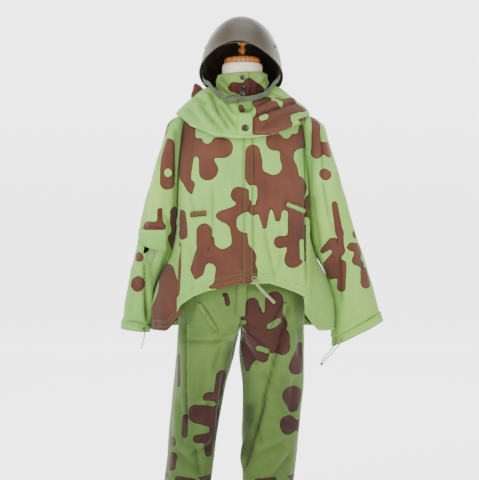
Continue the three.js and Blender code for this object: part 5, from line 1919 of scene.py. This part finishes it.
# ---------- cords ----------
@dataclass(frozen=True)
class Cord:
    """A free drawcord: its route in millimetres, and what it leaves."""

    name: str
    node: str
    body: str
    route: Route
    diameter: float
    far_end: str = "bare"
    flat: bool = False
    knot: Optional[Place] = None

    def build(self) -> None:
        line = through(self.route, 60)
        length = float(np.linalg.norm(np.diff(line, axis=0), axis=1).sum())
        faces = np.repeat([[0.0, -1.0, 0.05]], len(line), axis=0)
        thick = 0.0014 if self.flat else self.diameter
        piece = swept(self.name, line, faces, self.diameter, thick)
        finish = GREEN_TAPE if self.flat else DARK_CORD
        role = Body(self.name, self.body, "green_tape", finish, (self.node,))
        settle(piece, role)
        ends = []
        if self.knot:
            ends.append(self._tie(role))
        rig.cord(
            piece, exit=tuple(line[0]), length=round(length, 4), diameter=self.diameter,
            far_end=self.far_end, stiffness="limp", lay="hanging", path=[tuple(point) for point in line],
            with_pieces=ends,
        )
        LOG.info("%s is %.3f m long", self.name, length)

    def _tie(self, role: Body) -> bpy.types.Object:
        """Makes the knot at the cord's end."""
        turn = np.linspace(0, 2 * np.pi, 60)[:-1]
        centre = np.array(self.knot) * MM
        ring = np.stack([
            (np.sin(turn) + 2 * np.sin(2 * turn)) * 0.0014, np.sin(3 * turn) * 0.0016,
            (np.cos(turn) - 2 * np.cos(2 * turn)) * 0.0014,
        ], axis=-1) + centre
        faces = ring - centre + np.array([0, -0.0001, 0])
        knot = swept(f"{self.name}_knot", ring, faces, 0.0030, 0.0030, round_trip=True)
        return fit(knot, role.body, "green_tape", DARK_CORD, "right_cuff_knot")


CORDS = (
    Cord(
        "waist_drawcord", "waist_cord", "stand",
        (
            (35, -155.4, 842), (35.6, -158.4, 841), (37, -160, 836), (41, -160, 827), (48, -157, 817),
            (57, -151, 807), (67, -144, 797), (77, -137, 787), (87, -132, 777), (96, -129, 768),
        ),
        0.009, flat=True,
    ),
    Cord(
        "left_cuff_drawcord", "left_cuff_cord", "sleeve_left",
        (
            (-308, -53.2, 686.2), (-305.8, -55.4, 685.2), (-304.8, -56.4, 680), (-304.8, -56.6, 670),
            (-306, -56, 658), (-308.5, -55, 646), (-311.5, -54, 634), (-315, -53, 622),
        ),
        0.0032,
    ),
    Cord(
        "right_cuff_drawcord", "right_cuff_cord", "sleeve_right",
        (
            (291.3, -35.3, 644.7), (289.2, -37.4, 643.8), (287, -39.6, 639), (283, -41, 631),
            (277, -42, 621), (269, -42, 612), (260, -42, 603), (251, -42.4, 592), (244.4, -42, 581.7),
        ),
        0.0032,
    ),
    Cord(
        "right_cuff_drawcord_second", "right_cuff_cord_2", "sleeve_right",
        (
            (307.7, -46.4, 652.8), (306.5, -49.2, 652), (304.6, -51.6, 648.6), (301, -53, 641),
            (294, -53, 630), (285, -52, 619), (275, -51, 608), (265, -49.4, 597), (256, -47.8, 586.8),
            (248.8, -46.2, 579),
        ),
        0.0032, far_end="knot", knot=(244, -43.5, 575),
    ),
)


# ---------- display form ----------
class Form:
    """The display form: base, legs, torso, neck, cap and finial."""

    def _skin(self, name: str, hoops: Sequence[Row], girth: float) -> bpy.types.Object:
        """A smooth closed body through hoops."""
        cloth = tube(hoops, 0.25, girth, 0.009)
        piece = cloth.mesh(name)
        bm = bmesh.new()
        bm.from_mesh(piece.data)
        bmesh.ops.holes_fill(bm, edges=[edge for edge in bm.edges if edge.is_boundary], sides=0)
        bmesh.ops.recalc_face_normals(bm, faces=bm.faces[:])
        bm.to_mesh(piece.data)
        bm.free()
        return piece

    def build(self) -> None:
        """Makes every piece of the form."""
        for side, x in (("left", (-184, -183, -164, -138, -110)), ("right", (74, 75, 85, 92, 88))):
            hoops = (
                level(14.4, 44, 150, 62, x[0]), level(36.3, 46, 148, 64, x[0]),
                level(54.3, 44, 112, 60, x[0]), level(76, 40, 58, 54, x[0]),
                level(106.3, 37, 48, 48, x[1]), level(300, 50, 52, 64, x[2]),
                level(480, 54, 62, 58, x[3]), level(699.5, 79, 92, 96, x[4]),
            )
            leg = self._skin(f"{side}_leg_skin", hoops, 0.34)
            fit(leg, "stand", "form_cream", FORM_CREAM, f"{side}_leg_form")
        hoops = (
            level(700, 172, 108, 108, 0, -8), level(800, 168, 106, 110, 0, -8),
            level(930, 140, 98, 98, 0, -8), level(1000, 143, 102, 100, 0, -8),
            level(1037, 147, 105, 102, 0, -8), level(1200, 180, 118, 118),
            level(1317, 188, 110, 116), level(1343, 182, 97, 103), level(1367, 144, 80, 86),
            level(1385, 86, 71, 77),
        )
        torso = self._skin("torso_skin", hoops, 0.95)
        fit(torso, "stand", "form_cream", FORM_CREAM, "torso_form")
        neck = lathe("neck_skin", [
            (0.0, 1.3853), (0.066, 1.3853), (0.0655, 1.40), (0.0635, 1.504), (0.061, 1.510), (0.0, 1.510),
        ], 128)
        move(neck, Matrix.Translation((-0.002, 0, 0)))
        fit(neck, "stand", "form_cream", FORM_CREAM, "neck_form")
        cap = lathe("cap_turning", [
            (0.0, 1.5102), (0.053, 1.5102), (0.0565, 1.5145), (0.0568, 1.5230), (0.054, 1.5285),
            (0.045, 1.5322), (0.0, 1.5325),
        ], 128)
        move(cap, Matrix.Translation((-0.002, 0, 0)))
        fit(cap, "stand", "turned_wood", CAP_WOOD, "neck_cap")
        low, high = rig.box("cap_finial")
        top, base = high[2], low[2]
        ball = 0.022
        turn = np.linspace(-math.pi / 2 + 0.3, math.pi / 2, 20)
        profile = [(0.0, base), (0.015, base), (0.0155, base + 0.004), (0.008, base + 0.010)]
        profile += [(0.013, base + 0.020), (0.0125, base + 0.026), (0.006, base + 0.034)]
        profile += [(0.006, top - 2 * ball + 0.0012)]
        profile += [(ball * math.cos(a), top - ball + ball * math.sin(a)) for a in turn]
        finial = lathe("finial_turning", profile, 64)
        middle = ((low[0] + high[0]) / 2, (low[1] + high[1]) / 2, 0)
        move(finial, Matrix.Translation(middle))
        fit(finial, "stand", "turned_wood", CAP_WOOD, "cap_finial")
        DRESSER.dress_nodes(BASE_PAINT, "base_plate")
        soften(frame["nodes"]["base_plate"], 0.0015)
        DRESSER.dress_nodes(TROUSER_COTTON, "waistband")
        DRESSER.dress_nodes(
            GREEN_CAD_TAPE, "hem_eyelet", "left_cuff_eyelet", "right_cuff_eyelet", "right_cuff_eyelet_2"
        )


# ---------- helmet ----------
@dataclass
class Helmet:
    """The steel helmet: shell, rolled rim, rivets and liner."""

    half_width: float = 0.126
    half_length: float = 0.146
    height: float = 0.190
    wall: float = 0.003
    place: Matrix = field(default_factory=lambda: (
        Matrix.Translation((-0.006, -0.024, 1.472))
        @ Matrix.Rotation(math.radians(-6), 4, "Z")
        @ Matrix.Rotation(math.radians(-24), 4, "X")
    ))

    def surface(self, share: np.ndarray, turn: np.ndarray, inset: float = 0.0) -> np.ndarray:
        """Points of the bowl in its own frame, from 0 at the rim to 1 at the crown."""
        swell = np.sqrt(np.maximum(1 - share**2.35, 0))
        flare = 1 + 0.045 * (1 - share) ** 8
        along = np.sin(2 * np.pi * turn)
        rim = np.where(along < 0, 0.030 * along**4, 0.006 * along**2)
        x = np.cos(2 * np.pi * turn) * np.maximum(self.half_width * swell * flare - inset, 0)
        y = along * np.maximum(self.half_length * swell * flare - inset, 0)
        z = rim + (self.height - inset - rim) * share
        return np.stack([x, y, z], axis=-1)

    def shell(self) -> None:
        """Makes the shell and its rolled rim."""
        columns, rows = 180, 64
        share = 1 - (1 - np.linspace(0, 1, rows + 1)) ** 1.35
        share, turn = np.meshgrid(share, np.linspace(0, 1, columns + 1), indexing="ij")
        points = self.surface(share, turn)
        points[:, -1] = points[:, 0]
        cloth = Cloth(points, closed=True)
        steel = thicken(cloth.mesh("helmet_steel"), self.wall)
        move(steel, self.place)
        fit(steel, "helmet", "olive_steel", OLIVE_STEEL, "helmet_shell")
        turn = np.linspace(0, 1, 240)[:-1]
        line = self.surface(np.full(turn.shape, 0.004), turn, self.wall / 2)
        rim = swept("helmet_rim", line, line * [1, 1, 0] + [0, 0, 1e-4], 0.0042, 0.0042, round_trip=True)
        move(rim, self.place)
        fit(rim, "helmet", "olive_steel", OLIVE_STEEL, "helmet_shell")

    def rivets(self) -> None:
        """Makes the six domed rivets."""
        places = ((2, 0.52), (3, 0.34), (11, 0.34), (12, 0.52), (26, 0.34), (16, 0.34))
        for index, (column, share) in enumerate(places):
            head = lathe(f"rivet_head_{index + 1}", [
                (0.0056 * math.cos(a), 0.0030 * math.sin(a)) for a in np.linspace(0, math.pi / 2, 8)
            ], 32)
            turn = column / 28
            spot = self.surface(np.array(share), np.array(turn))
            side = self.surface(np.array(share), np.array(turn + 0.001)) - spot
            upward = self.surface(np.array(share + 0.002), np.array(turn)) - spot
            normal = Vector(np.cross(side, upward)).normalized()
            seat = Matrix.Translation(spot) @ normal.to_track_quat("Z", "Y").to_matrix().to_4x4()
            move(head, self.place @ seat)
            fit(head, "helmet", "olive_steel", OLIVE_STEEL, f"helmet_rivet_{index + 1}")

    def build(self) -> None:
        """Makes the helmet, and dresses what stays from the CAD."""
        self.shell()
        self.rivets()
        DRESSER.dress_nodes(LINER_LEATHER, "liner_band", "liner_cradle")
        DRESSER.dress_nodes(DARK_STEEL, "left_strap_ring", "right_strap_ring")
        for node in ("left_strap_ring", "right_strap_ring"):
            soften(frame["nodes"][node], 0.0003)


@dataclass
class ChinStrap:
    """The webbing chin strap with its buckle and tail."""

    width: float = 0.0145
    thick: float = 0.002
    rings: Route = ((-126.74, -4.77, 1486.62), (116.10, -30.29, 1486.62))
    drop: float = 12.7
    left: Route = (
        (-124, -13, 1462), (-104, -62, 1440), (-90, -84, 1418), (-66, -104, 1400), (-40.2, -115, 1390),
    )
    right: Route = (
        (112, -37, 1464), (96, -64, 1442), (78, -88, 1416), (50, -106, 1396), (-6.8, -117, 1386),
    )
    tail: Route = ((-17, -119.5, 1387), (-37, -120, 1386), (-55, -115, 1383))
    buckle: Place = (-0.023, -0.116, 1.389)

    def _webbing(self, name: str, node: str, route: Route) -> None:
        """Makes one length of webbing that faces outward."""
        line = through(route, 70)
        faces = line * [1, 1, 0] - [0, -0.010, 0]
        strap = swept(name, line, faces, self.width, self.thick)
        fit(strap, "chin_strap", "grey_webbing", GREY_WEBBING, node)

    def build(self) -> None:
        """Makes the two halves, the tail and the buckle."""
        for side, ring, route in (("left", self.rings[0], self.left), ("right", self.rings[1], self.right)):
            start = (ring[0], ring[1], ring[2] - self.drop)
            self._webbing(f"{side}_chin_webbing", f"{side}_chin_strap", (start, *route))
        self._webbing("strap_tail_webbing", "strap_tail", self.tail)
        half_x, half_z, corner = 0.013, 0.010, 0.003
        outline = []
        for x, z, first in ((1, 1, 0), (-1, 1, 1), (-1, -1, 2), (1, -1, 3)):
            for angle in np.linspace(first, first + 1, 7) * math.pi / 2:
                outline.append((
                    x * (half_x - corner) + corner * math.cos(angle), 0.0,
                    z * (half_z - corner) + corner * math.sin(angle),
                ))
        line = np.array(outline) + np.array(self.buckle)
        faces = np.repeat([[0.0, -1.0, 0.0]], len(line), axis=0)
        frame_piece = swept("buckle_frame", line, faces, 0.0036, 0.0026, round_trip=True)
        middle = np.linspace([0.0, -0.0004, -half_z], [0.0, -0.0004, half_z], 12) + np.array(self.buckle)
        bar = swept("buckle_bar", middle, np.repeat([[0.0, -1.0, 0.0]], 12, axis=0), 0.0034, 0.0024)
        for piece in (frame_piece, bar):
            fit(piece, "chin_strap", "dark_metal", DARK_STEEL, "strap_buckle")


# ---------- studio ----------
@dataclass
class Studio:
    """Camera, soft lights and a plain pale room."""

    lens: float = 80
    eye: Place = (-0.011, -3.357, 0.959)
    lights: tuple[tuple[str, Place, Place, float, float], ...] = (  # place, target, size and power
        ("key", (-2.3, -2.8, 3.0), (0, 0, 1.0), 1.4, 112), ("fill", (2.8, -2.6, 1.8), (0, 0, 0.9), 2.8, 34),
        ("top", (0.2, 0.2, 4.2), (0, 0, 1.0), 2.6, 44), ("back", (0.6, 3.4, 3.0), (0, 0, 1.0), 2.6, 50),
    )
    glow: float = 2.1  # light that the paper gives of itself
    air: float = 0.75  # light from all around

    def camera(self) -> None:
        """Places the camera in front of the object."""
        data = bpy.data.cameras.new("camera")
        data.lens = self.lens
        data.sensor_width = 36
        data.dof.use_dof = False
        camera = bpy.data.objects.new("camera", data)
        camera.location = self.eye
        camera.rotation_euler = (math.pi / 2, 0, 0)
        bpy.context.scene.collection.objects.link(camera)
        bpy.context.scene.camera = camera

    def _light(self, name: str, place: Row, target: Row, size: float, power: float) -> None:
        """Adds a large soft light that points at a target."""
        data = bpy.data.lights.new(name, "AREA")
        data.shape = "DISK"
        data.size = size
        data.energy = power
        light = bpy.data.objects.new(name, data)
        light.location = place
        light.rotation_euler = (Vector(target) - Vector(place)).to_track_quat("-Z", "Y").to_euler()
        bpy.context.scene.collection.objects.link(light)

    def room(self) -> None:
        """Makes the pale floor, which curves up into a wall far behind."""
        bm = bmesh.new()
        bmesh.ops.create_grid(bm, x_segments=2, y_segments=80, size=1.0)
        wide, front, wall, bend = 22.0, -14.0, 9.0, 2.5
        flat = wall - bend - front
        arc = bend * math.pi / 2
        total = flat + arc + 8.0
        for vert in bm.verts:
            run = (vert.co.y + 1) / 2 * total
            if run < flat:
                place = (front + run, 0.0)
            elif run < flat + arc:
                angle = (run - flat) / bend
                place = (wall - bend + bend * math.sin(angle), bend - bend * math.cos(angle))
            else:
                place = (wall, bend + run - flat - arc)
            vert.co = (vert.co.x * wide, place[0], place[1])
        bmesh.ops.recalc_face_normals(bm, faces=bm.faces[:])
        for face in bm.faces:
            face.smooth = True
        floor = finished(bm, "studio_floor")
        paint = Graph("studio_paper")
        paper = (0.93, 0.93, 0.93)
        floor.data.materials.append(paint.finish(
            Base_Color=paper, Roughness=0.95, Emission_Color=(1.0, 1.0, 1.0), Emission_Strength=self.glow
        ))
        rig.stage(floor)

    def build(self) -> None:
        """Makes the whole studio."""
        self.camera()
        for light in self.lights:
            self._light(*light)
        world = bpy.data.worlds.new("studio_air")
        world.use_nodes = True
        air = world.node_tree.nodes["Background"]
        air.inputs["Color"].default_value = (1, 1, 1, 1)
        air.inputs["Strength"].default_value = self.air
        bpy.context.scene.world = world
        self.room()


def main() -> None:
    """Makes the object and its studio, and writes how large it came out."""
    logging.basicConfig(level=logging.INFO, format="%(message)s")
    Studio().build()
    for cord in CORDS:
        cord.build()
    Form().build()
    LEFT_TROUSERS.build()
    RIGHT_TROUSERS.build()
    trouser_trim()
    Smock().build()
    LEFT_SLEEVE.build()
    RIGHT_SLEEVE.build()
    SleeveVent().build()
    Hood().build()
    Throat().build()
    Helmet().build()
    ChinStrap().build()
    size = {"cad": [list(corner) for corner in CAD_BOX], "visual": [list(corner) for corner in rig.bounds()]}
    with open("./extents.json", "w", encoding="utf-8") as out:
        json.dump(size, out)


if __name__ == "__main__":
    main()
